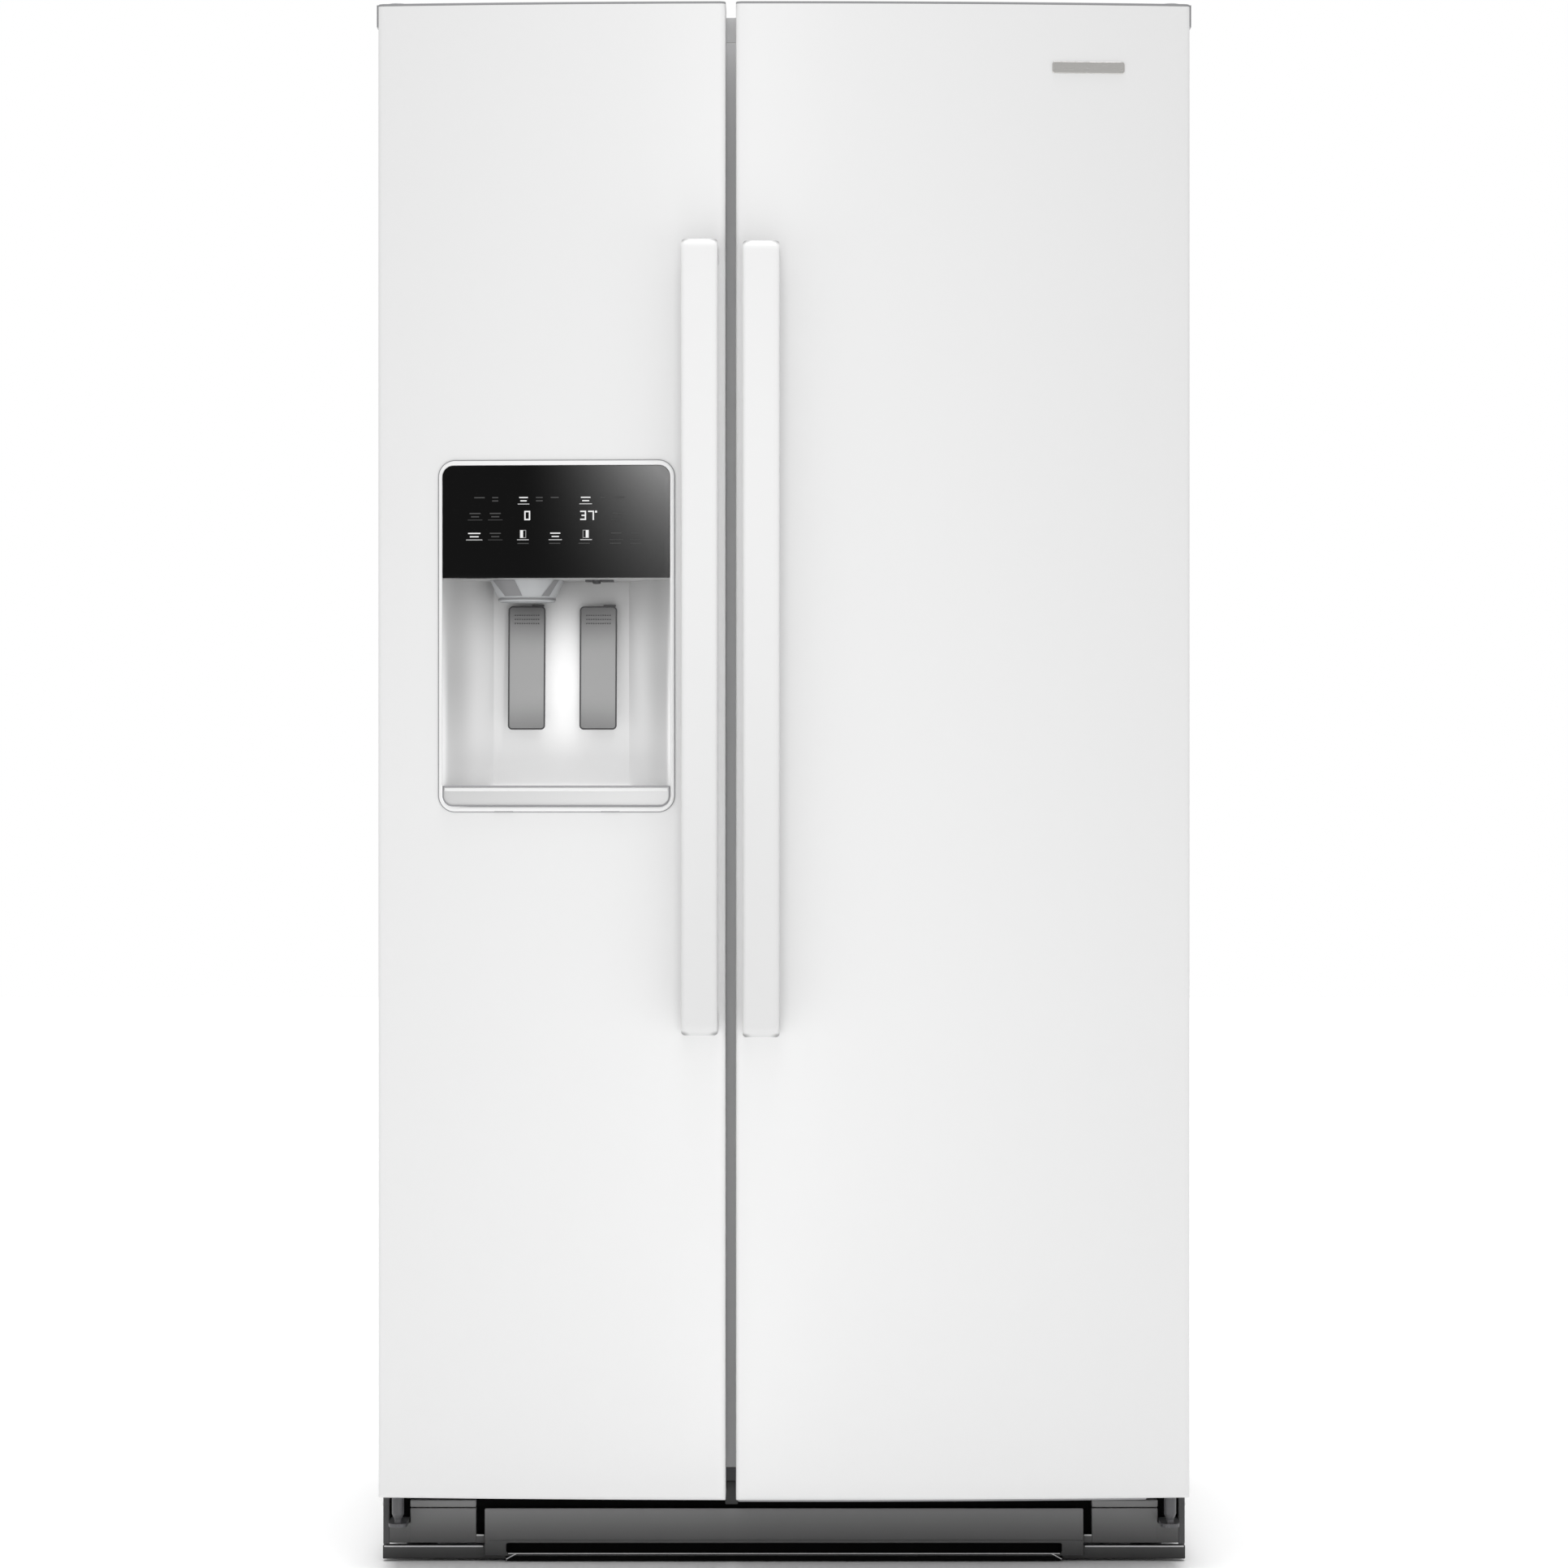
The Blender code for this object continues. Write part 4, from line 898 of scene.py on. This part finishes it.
# %% Chute
funnel = [(0.0302, 1.0820), (0.0312, 1.0822), (0.0318, 1.0835), (0.0318, 1.0868), (0.0326, 1.0874)]
funnel += [(0.0409, 1.1050), (0.0409, 1.2280), (0.0393, 1.2290), (0.0390, 1.1060), (0.0310, 1.0872)]
funnel += [(0.0302, 1.0866)]
milky = finish("milky_plastic", (0.50, 0.51, 0.52), (0.25, 0.35), shift=0.04, relief=(300, 0.02), alpha=0.72)
mesh = shell("chute", turned(funnel, (*CHUTE, 0), squash=0.73, steps=64), ring=True)
piece("chute_funnel", mesh, "freezer_door", "clear_plastic", milky, stands_for=["ice_chute"])

# %% [markdown]
# Two darker flaps lie on the front of the cone, and a thin collar goes round its mouth. A flap is a grid between
# two slanted lines, lifted half a millimetre off the oval: y = -0.73 times the root of (radius squared minus x
# squared).


# %% Chute flaps and collar
def on_funnel(start, end, low, high, steps=10):
    """Thin plate on the funnel between two slanted lines, each given as X at the top and at the foot."""
    share = np.linspace(0, 1, steps)[:, None]
    z = high + (low - high) * share
    x = np.linspace(0, 1, 9)[None, :]
    x = (start[0] + (start[1] - start[0]) * share) * (1 - x) + (end[0] + (end[1] - end[0]) * share) * x
    radius = np.interp(z, [1.0874, 1.1050], [0.0326, 0.0409]) + 0.0005
    y = CHUTE[1] - 0.73 * np.sqrt(np.maximum(radius**2 - (x - CHUTE[0]) ** 2, 1e-7))
    front = np.stack([x, y, np.broadcast_to(z, x.shape)], -1)
    ring = np.stack([front, front + (0, 0.0007, 0)])
    loops = [np.vstack([ring[0, k], ring[1, k, ::-1]]) for k in range(steps)]
    return shell("flap", np.array(loops), caps=True)


FLAP_Z = (1.0880, 1.1060)
flap = [on_funnel((-0.3262, -0.3122), (-0.3010, -0.2925), *FLAP_Z)]
flap.append(on_funnel((-0.2575, -0.2715), (-0.2520, -0.2630), *FLAP_Z))
collar = [(0.0314, 1.0840), (0.0326, 1.0842), (0.0326, 1.0860), (0.0314, 1.0862)]
flap.append(shell("collar", turned(collar, (*CHUTE, 0), squash=0.73, steps=48), ring=True))
shaded = finish("shaded_plastic", (0.20, 0.20, 0.205), (0.3, 0.4), shift=0.04, relief=(600, 0.03))
piece("chute_flap", gathered(flap), "freezer_door", "grey_plastic", shaded)

# %% [markdown]
# ## Paddles
#
# A cup pressed against a paddle starts the ice or the water. Each paddle is a tilted plate with a raised dark rim
# and three rows of grip dots, hung on a pin at its top. Painted shade makes its face darker at the top, under the
# panel, and again near its foot.

# %% Paddle finishes
PADDLES = {"ice_paddle": (-0.3104, -0.2692), "water_paddle": (-0.2299, -0.1886)}
PADDLE_Z = (0.9395, 1.0782)
# Painted shade: the paddle face darkens at its top, under the panel, and near its foot.
paddle_shades = [((-0.25, -0.31, 1.090), (0.30, 0.30, 0.075), 0.98), ((-0.25, -0.31, 0.925), (0.30, 0.30, 0.060), 0.60)]
paddle_face_painted_shade = moulding_with_painted_light("paddle_face_painted_shade", (0.40,) * 3, (0.12,) * 3, paddle_shades, [])
paddle_rim = finish("paddle_rim", (0.060, 0.060, 0.062), (0.35, 0.45), shift=0.05, relief=(1500, 0.05))
print("paddle finishes", paddle_face_painted_shade.name, paddle_rim.name)


# %% Paddles
def on_paddle(x, z, depth):
    """Places an outline on the tilted face of a paddle, which leans 13.5 mm forward at its foot."""
    lean = (PADDLE_Z[1] - z) / (PADDLE_Z[1] - PADDLE_Z[0])
    return np.stack([x, -0.3100 - 0.0135 * lean + depth, z], -1)


edge = [(-0.0002, 0.0020), (-0.0004, 0.0002), (0.0000, -0.0006), (0.0010, -0.0006), (0.0014, 0.0002)]
dome = [(0.0, -0.0007), (0.0006, -0.0006), (0.0009, 0.0002)]
for name, x in PADDLES.items():
    plate = slab(x, PADDLE_Z, on_paddle, 0.0035, 0.0008, 0.0045, rows=2, turn=8)
    piece(f"{name}_plate", plate, name, "clear_plastic", paddle_face_painted_shade, stands_for=[name])
    rim = [shell("rim", carried(edge, x, PADDLE_Z, 0.0045, on_paddle, turn=8), ring=True)]
    tab = (x[1] - 0.0150, x[1] - 0.0010)
    rim.append(slab(tab, (PADDLE_Z[1] - 0.0002, PADDLE_Z[1] + 0.0022), on_paddle, 0.003, 0.0004))
    pin = [(end, -0.3055, 1.0760) for end in (x[0] + 0.0020, x[1] - 0.0020)]
    rim.append(rod(*pin, 0.0020, 16))
    columns, rows = np.linspace(x[0] + 0.0075, x[1] - 0.0075, 11), 1.0682 - 0.0046 * np.arange(3)
    across, up = np.meshgrid(columns, rows)
    for a, b in zip(across.ravel(), up.ravel()):
        at = on_paddle(np.array(a), np.array(b), 0.0)
        rim.append(shell("dot", turned(dome, at, axis="Y", steps=8), caps=True))
    piece(f"{name}_rim", gathered(rim), name, "dark_plastic", paddle_rim)

# %% [markdown]
# ## Drip tray
#
# The tray pulls out like a drawer. Its front lip is a plate bowed with the door, with large lower corners. A
# shallow pan is behind it, and a grate of slats on three cross rods lies in the pan.

# %% Drip tray
TRAY_X, TRAY_Z = (-0.3807, -0.1272), (0.8530, 0.8757)
TRAY_TOP = TRAY_Z[1]
TRAY_LIP = {"turn": 10, "across": 28}
tray_corners = (0.0122, 0.0010, 0.0010, 0.0122)
left_end, right_end = ((x, 0, 0) for x in TRAY_X)
# Painted shade: the tray front is darker at its left end and lighter at its right.
tray_painted_shade_look = graded(
    "tray_plastic_painted_shade", (0.60,) * 3, (0.76,) * 3, left_end, right_end, gloss=(0.34, 0.44), relief=(1400, 0.04)
)
lip = slab(TRAY_X, TRAY_Z, on_panel, 0.0060, 0.0016, tray_corners, rows=8, **TRAY_LIP)
pan = [(0.05, 0.0218), (0.004, 0.0218), (0.0015, 0.0200), (0, 0.0170), (0, 0.0012), (0.0008, 0.0008)]
pan += [(0.0016, 0.0012), (0.0016, 0.0165), (0.0030, 0.0190), (0.05, 0.0198)]
pan_x = (TRAY_X[0] + 0.001, TRAY_X[1] - 0.001)
pan = shell("pan", carried(pan, pan_x, (-0.3660, -0.3042), 0.004, lying(TRAY_TOP)))
piece("tray_body", gathered([lip, pan]), "drip_tray", "grey_plastic", tray_painted_shade_look, stands_for=["drip_tray"])
slats = [
    slab((x, x + 0.0040), (-0.3640, -0.3062), lying(TRAY_TOP), 0.0030, 0.0010, 0.0012, turn=3)
    for x in np.linspace(TRAY_X[0] + 0.006, TRAY_X[1] - 0.010, 29)
]
for y in (-0.358, -0.335, -0.312):
    slats.append(rod((TRAY_X[0] + 0.004, y, 0.8730), (TRAY_X[1] - 0.004, y, 0.8730), 0.0011))
piece("tray_grate", gathered(slats), "drip_tray", "grey_plastic")

# %% [markdown]
# A fine grey line goes round the lip and paints the shadow in the gap where it parts from the bezel, and a white
# strip on its rounded upper edge is a painted highlight.
# Two small tabs below the bezel release the housing.

# %% Tray gap shadow, painted edge highlight and latch tabs
# A grey line round the lip paints the shadow in the gap between the tray and the bezel.
edge = [(-0.0003, 0.0010), (-0.0003, -0.0012), (0.0002, -0.0016), (0.0009, -0.0016), (0.0012, -0.0010)]
edge += [(0.0012, 0.0010)]
grid = carried(edge, TRAY_X, TRAY_Z, tray_corners, on_panel, **TRAY_LIP)
piece("tray_gap_shadow", shell("line", grid, ring=True), "drip_tray", "grey_plastic")
# A white strip along the rounded top of the lip is a painted highlight.
tray_highlight_x = (TRAY_X[0] + 0.0016, TRAY_X[1] - 0.0016)
tray_highlight = slab(tray_highlight_x, (0.8698, 0.8738), on_panel, 0.0050, 0.0010, 0.0010, rows=2, across=28)
tray_highlight.transform(Matrix.Translation((0, -0.0008, 0)))
piece("tray_painted_highlight", tray_highlight, "drip_tray", "white_plastic")
TABS = ((-0.3227, -0.3018), (-0.2038, -0.1829))
tabs = [slab(ends, (0.8464, 0.8480), on_panel, 0.0030, 0.0003, 0.0004) for ends in TABS]
piece("latch_tabs", gathered(tabs), "freezer_door", "grey_plastic")

# %% [markdown]
# ## Base grille
#
# Below the doors runs a black plastic grille: a centre plate with one long air slot, a kick strip at each side of
# it, and a corner cover with its own band in front of each foot. The centre plate leans back a little towards its
# top, so its upper part catches more light, and painted light in the finish makes every grille part and corner
# cover lighter towards its top. All of them are plates carried round rounded rectangles, and the slot plate is a
# plate with a hole: its loops run from the hole outwards.

# %% Base finish
FRONT = -0.3005
GRAIN = {"gloss": (0.46, 0.56), "relief": (2600, 0.12)}
# Painted light: the grille and corner covers go from near black at the floor to a lighter grey towards their
# tops.
base_painted_light_look = graded("base_plastic_painted_light", (0.022,) * 3, (0.235,) * 3, (0, 0, 0.000), (0, 0, 0.066), 1.5, **GRAIN)
print("base finish", base_painted_light_look.name)


# %% Slot plate and kick strips
def leaning(x, z, depth):
    """Places an outline on the centre plate, which leans back by 2.5 mm towards its top."""
    return np.stack([x, -0.3065 + 0.0025 * np.clip((z - 0.026) / 0.034, 0, 1) + depth, z], -1)


def holed(outer, hole, place, thick, edge, steps):
    """Grid of a plate with an opening: hole back edge, hole front edge, face, rounded edge, back edge."""
    lip = 0.0006
    rows = [place(*outline(*hole, steps["round"], **steps["count"]).T, thick)]
    rows.append(place(*outline(*hole, steps["round"], **steps["count"]).T, lip))
    inner = outline(*[(a - lip, b + lip) for a, b in hole], steps["round"] + lip, **steps["count"])
    face = outline(*[(a + edge, b - edge) for a, b in outer], steps["corner"] - edge, **steps["count"])
    rows += [place(*(inner * (1 - t) + face * t).T, 0.0) for t in np.linspace(0, 1, 5)]
    for inset, depth in quarter(edge)[1:]:
        flat = outline(*[(a + inset, b - inset) for a, b in outer], steps["corner"] - inset, **steps["count"])
        rows.append(place(*flat.T, depth))
    rows.append(place(*outline(*outer, steps["corner"], **steps["count"]).T, thick))
    return np.array(rows)


def mirrored(side, a, b):
    """Span from a to b on the right, or the same span on the left."""
    return sorted((side * a, side * b))


shape = {"round": 0.003, "corner": 0.0016, "count": {"across": 30, "down": 6, "turn": 8}}
plate, slot = ((-0.338, 0.338), (0.0066, 0.060)), ((-0.3138, 0.3138), (0.0098, 0.0213))
parts = [shell("slot_plate", holed(plate, slot, leaning, 0.0022, 0.0010, shape), ring=True)]
parts.append(slab((-0.338, 0.338), (0.0236, 0.0250), facing(-0.3070), 0.002, 0.0006))
parts.append(slab((-0.3120, 0.3120), (0.0084, 0.0100), facing(-0.3078), 0.002, 0.0007))
for side in (-1, 1):
    strip, step = mirrored(side, DOOR_EDGE, 0.3140), mirrored(side, 0.3485, 0.3375)
    parts.append(slab(strip, (0.0024, 0.0178), facing(FRONT), 0.0110, 0.0014, 0.0012, rows=2))
    parts.append(slab(step, (0.0205, 0.0300), facing(FRONT + 0.0006), 0.004, 0.0006))
piece("grille", gathered(parts), "cabinet", "dark_plastic", base_painted_light_look, stands_for=["base_grille"])

# %% [markdown]
# Each corner cover is a main plate, a lower ear round the hinge and a separate band on top. A narrow post
# beside it covers the edge of the white side panel.

# %% Corner covers and posts
for side, name in ((-1, "left"), (1, "right")):
    spans = ((0.3479, 0.4223), (0.4190, 0.4462), (0.4458, 0.4530))
    wide, ear, narrow = (mirrored(side, *span) for span in spans)
    cover = [slab(wide, (0.0205, 0.0598), facing(FRONT), 0.0090, 0.0010, 0.0012, rows=3)]
    cover.append(slab(ear, (0.0205, 0.0434), facing(FRONT + 0.0004), 0.0080, 0.0010, 0.0010))
    cover.append(slab(wide, (0.0610, 0.0690), facing(FRONT - 0.0008), 0.0090, 0.0012, 0.0012, rows=2))
    piece(f"corner_cover_{name}", gathered(cover), "cabinet", "dark_plastic", base_painted_light_look)
    post = slab(narrow, (0.0190, 0.0785), facing(-0.3004), 0.0030, 0.0010, 0.0010, rows=2)
    piece(f"corner_post_{name}", post, "cabinet", "dark_plastic")

# %% [markdown]
# Behind the slot and between the plates there is shade, and a backing with a nearly black finish paints that
# shadow. The foot of the rail between the doors is steel with painted shade, and the thin light lines along the
# tops of the kick strips and steps, the lip under the slot and its sloped ends are painted highlights.

# %% Painted shadow backing, rail foot and painted edge highlights
# A nearly black backing paints the shadow behind the slot and between the plates.
back = [slab((-0.446, 0.446), (0.022, 0.0700), facing(-0.2895), 0.0012, 0.0004, rows=1)]
back.append(slab((-0.3345, 0.3345), (0.0008, 0.0240), facing(-0.2915), 0.0012, 0.0004, rows=1))
back.append(slab((-0.3130, 0.3130), (0.0006, 0.0092), facing(-0.3042), 0.0010, 0.0003, rows=1))
painted_shadow_black = finish("painted_shadow_black", (0.004, 0.004, 0.004), (0.8, 0.9), shift=0.2, relief=(900, 0.05), specular=0.05)
piece("grille_shadow_backing", gathered(back), "cabinet", "dark_plastic", painted_shadow_black)
# Painted shade: the foot of the rail between the doors is nearly black steel, for the shadow deep in the gap.
foot = slab((-0.0664, -0.0521), (0.0640, 0.0900), facing(-0.2995), 0.0018, 0.0005, rows=1)
rail_foot_painted_shade = finish("steel_painted_shade", (0.028, 0.028, 0.029), (0.5, 0.6), shift=0.05, relief=(900, 0.05))
piece("rail_foot", foot, "cabinet", "dark_plastic", rail_foot_painted_shade)
# Thin light lines on the edges are painted highlights.
edge_highlight_look = finish("edge_painted_highlight", (0.60, 0.60, 0.605), (0.35, 0.45), shift=0.03, relief=(1200, 0.05))
lines = [slab((-0.3115, 0.3115), (0.0092, 0.0102), facing(-0.3081), 0.0008, 0.0003)]
for side in (-1, 1):
    kick, step = mirrored(side, 0.4520, 0.3400), mirrored(side, 0.3478, 0.3390)
    lines.append(slab(kick, (0.0158, 0.0175), facing(FRONT - 0.0006), 0.0020, 0.0005))
    lines.append(slab(step, (0.0284, 0.0300), facing(FRONT - 0.0002), 0.0010, 0.0004))
    lines.append(rod((side * 0.3134, -0.3076, 0.0034), (side * 0.3020, -0.3076, 0.0096), 0.0006))
piece("grille_edge_highlights", gathered(lines), "cabinet", "dark_plastic", edge_highlight_look)

# %% [markdown]
# ## Side screws
#
# A small domed screw head stands on each side panel just above the base.

# %% Side screws
head = [(0, 0.0021), (0.0012, 0.0020), (0.0024, 0.0014), (0.0029, 0.0005), (0.0030, 0.0)]
for side, name in ((-1, "left"), (1, "right")):
    profile = [(radius, side * height) for radius, height in head]
    mesh = shell("screw", turned(profile, (side * 0.4532, -0.285, 0.0625), axis="X", steps=20), caps=True)
    piece(f"side_screw_{name}", mesh, "cabinet", "dark_steel", FINISHES["white_enamel"])

# %% [markdown]
# ## Badge
#
# The right door carries a small blank plate where a maker would put a name. It is a plain rounded bar of satin
# metal, bowed with the door.

# %% Badge
BRUSHED = {"metal": 1.0, "shift": 0.03, "relief": (400, 0.03), "stretch": (1, 1, 12)}
satin = finish("satin_metal", (0.62, 0.61, 0.59), (0.22, 0.30), **BRUSHED)


def on_skin(x, z, depth):
    """Places an outline just proud of the door skin."""
    return np.stack([x, door_front(x) - 0.0014 + depth, z], -1)


badge = slab((0.2990, 0.3800), (1.6700, 1.6830), on_skin, 0.0013, 0.0006, 0.0030, rows=3, turn=8)
piece("blank_badge", badge, "refrigerator_door", "bare_steel", satin)

# %% [markdown]
# ## Door gaskets
#
# The magnetic seal is a soft hollow bellows that runs round each door. One folded profile, carried round the
# door's outline, gives it its two pleats and the flat face that meets the cabinet.

# %% Gaskets
pleats = [(0.0010, -0.3088), (0.0002, -0.3062), (0.0026, -0.3046), (0.0002, -0.3030), (0.0002, -0.3000)]
pleats += [(0.0012, -0.2976), (0.0148, -0.2976), (0.0158, -0.3000), (0.0158, -0.3030), (0.0134, -0.3046)]
pleats += [(0.0158, -0.3062), (0.0150, -0.3088)]
for door, x in {"freezer": (-0.4355, -0.069), "refrigerator": (-0.0495, 0.4355)}.items():
    grid = carried(pleats, x, (0.0855, 1.712), 0.006, lambda a, b, d: np.stack([a, np.full_like(a, d), b], -1))
    mesh = shell(f"{door}_gasket", grid, ring=True)
    piece(f"{door}_gasket", mesh, f"{door}_door", "seal_rubber", stands_for=[f"{door}_door_gasket"], sharp=60)

# %% [markdown]
# ## Drawers and bins
#
# Every drawer and bin is a moulded tub: a floor with rounded edges, walls with a slight draft, and a rolled rim.
# Its profile starts under the middle of the floor, climbs the outside, rolls over the rim and comes down
# inside, so one carried profile closes the whole tub.


# %% Tubs
def tub(x, y, z, corner=0.022, draft=0.006, wall=0.0025):
    """Profile pairs are (inset, height); the outline lies in X and Y."""
    low, high = z
    path = [(1, low), (draft + 0.016, low), (draft + 0.008, low + 0.0015), (draft + 0.002, low + 0.007)]
    path += [(draft, low + 0.014), (0.0032, high - 0.012), (0.0030, high - 0.009), (0.0006, high - 0.0075)]
    path += [(0.0, high - 0.004), (0.0010, high - 0.0010), (0.0030, high), (0.0050, high - 0.0010)]
    path += [(0.0058, high - 0.004), (draft + wall + 0.0005, low + 0.015), (draft + wall + 0.003, low + 0.0075)]
    path += [(draft + 0.012, low + 0.0040), (draft + 0.019, low + 0.0030), (1, low + 0.0030)]
    return shell("tub", carried(path, x, y, corner, lambda a, b, d: np.stack([a, b, np.full_like(a, d)], -1)))


FREEZER_BIN, FRIDGE_BIN = (-0.3700, -0.1190), (-0.0025, 0.3700)
TUBS = {
    "crisper_upper": ((-0.0260, 0.3820), (-0.165, 0.300), (0.400, 0.612), "crisper_upper", "clear_plastic"),
    "crisper_lower": ((-0.0260, 0.3820), (-0.165, 0.095), (0.124, 0.352), "crisper_lower", "clear_plastic"),
    "freezer_basket": ((-0.3820, -0.0920), (-0.160, 0.290), (0.430, 0.620), "freezer_basket", "liner_plastic"),
    "ice_bin": (FREEZER_BIN, (-0.3087, -0.205), (1.266, 1.585), "freezer_door", "clear_plastic"),
    "freezer_door_bin": (FREEZER_BIN, (-0.3087, -0.205), (0.300, 0.430), "freezer_door", "clear_plastic"),
    "door_bin_upper": (FRIDGE_BIN, (-0.3087, -0.195), (0.960, 1.090), "refrigerator_door", "clear_plastic"),
    "door_bin_lower": (FRIDGE_BIN, (-0.3087, -0.195), (0.330, 0.480), "refrigerator_door", "clear_plastic"),
    "dairy_bin": (FRIDGE_BIN, (-0.3087, -0.205), (1.440, 1.580), "refrigerator_door", "liner_plastic"),
}
for node, (x, y, z, body, slot) in TUBS.items():
    parts = [tub(x, y, z)]
    if body == node:
        middle = sum(x) / 2
        pull = (middle - 0.085, middle + 0.085), (z[1] - 0.024, z[1] - 0.004)
        parts.append(slab(*pull, facing(y[0] - 0.0095), 0.012, 0.003, 0.006))
    piece(f"{node}_tub", gathered(parts), body, slot, stands_for=[node])

# %% [markdown]
# ## Shelves
#
# The freezer shelves are welded wire: a row of thin rods from front to back on three cross rods inside a round
# frame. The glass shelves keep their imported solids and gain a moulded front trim.

# %% Shelves
coated = finish("coated_wire", (0.80, 0.81, 0.82), (0.30, 0.40), shift=0.02, relief=(900, 0.04))
for node, z in {"freezer_shelf_upper": 1.24, "freezer_shelf_lower": 0.86}.items():
    low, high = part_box(node)
    x = (low[0] + 0.003, high[0] - 0.003)
    y = (low[1] + 0.003, high[1] - 0.003)
    places = np.linspace(x[0] + 0.006, x[1] - 0.006, 26)
    wires = [rod((a, y[0], z - 0.0022), (a, y[1], z - 0.0022), 0.0014) for a in places]
    wires += [rod((x[0], b, z - 0.0052), (x[1], b, z - 0.0052), 0.0022, 10) for b in (y[0], sum(y) / 2, y[1])]
    wires += [rod((a, y[0], z - 0.0052), (a, y[1], z - 0.0052), 0.0024, 10) for a in x]
    piece(f"{node}_wires", gathered(wires), "cabinet", "bare_steel", coated, stands_for=[node])

for node in ("glass_shelf_upper", "glass_shelf_lower", "crisper_cover"):
    low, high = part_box(node)
    tall = (high[2] - 0.0175, high[2] + 0.0010)
    trim = slab((low[0], high[0]), tall, facing(low[1] - 0.0010), 0.0120, 0.0030, 0.004, rows=2)
    piece(f"{node}_trim", trim, "cabinet", "liner_plastic")

# %% [markdown]
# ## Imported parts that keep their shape
#
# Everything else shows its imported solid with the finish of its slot: liners, foam, caps, hinges, rollers, coils
# and fans. The strip between the doors is painted steel in pale grey.

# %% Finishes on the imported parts
rail_look = finish("pale_rail", (0.94, 0.94, 0.94), (0.35, 0.45), shift=0.01, relief=(700, 0.02))
OWN_LOOK = {"center_rail": rail_look}
kept = 0
for node, obj in frame["nodes"].items():
    if obj.hide_render:
        continue
    look = OWN_LOOK.get(node, FINISHES[SLOT_OF[node]])
    for slot in obj.material_slots:
        slot.material = look
    if not obj.material_slots:
        obj.data.materials.append(look)
    kept += 1
print("packed parts shown", kept, "replaced", len(frame["nodes"]) - kept)
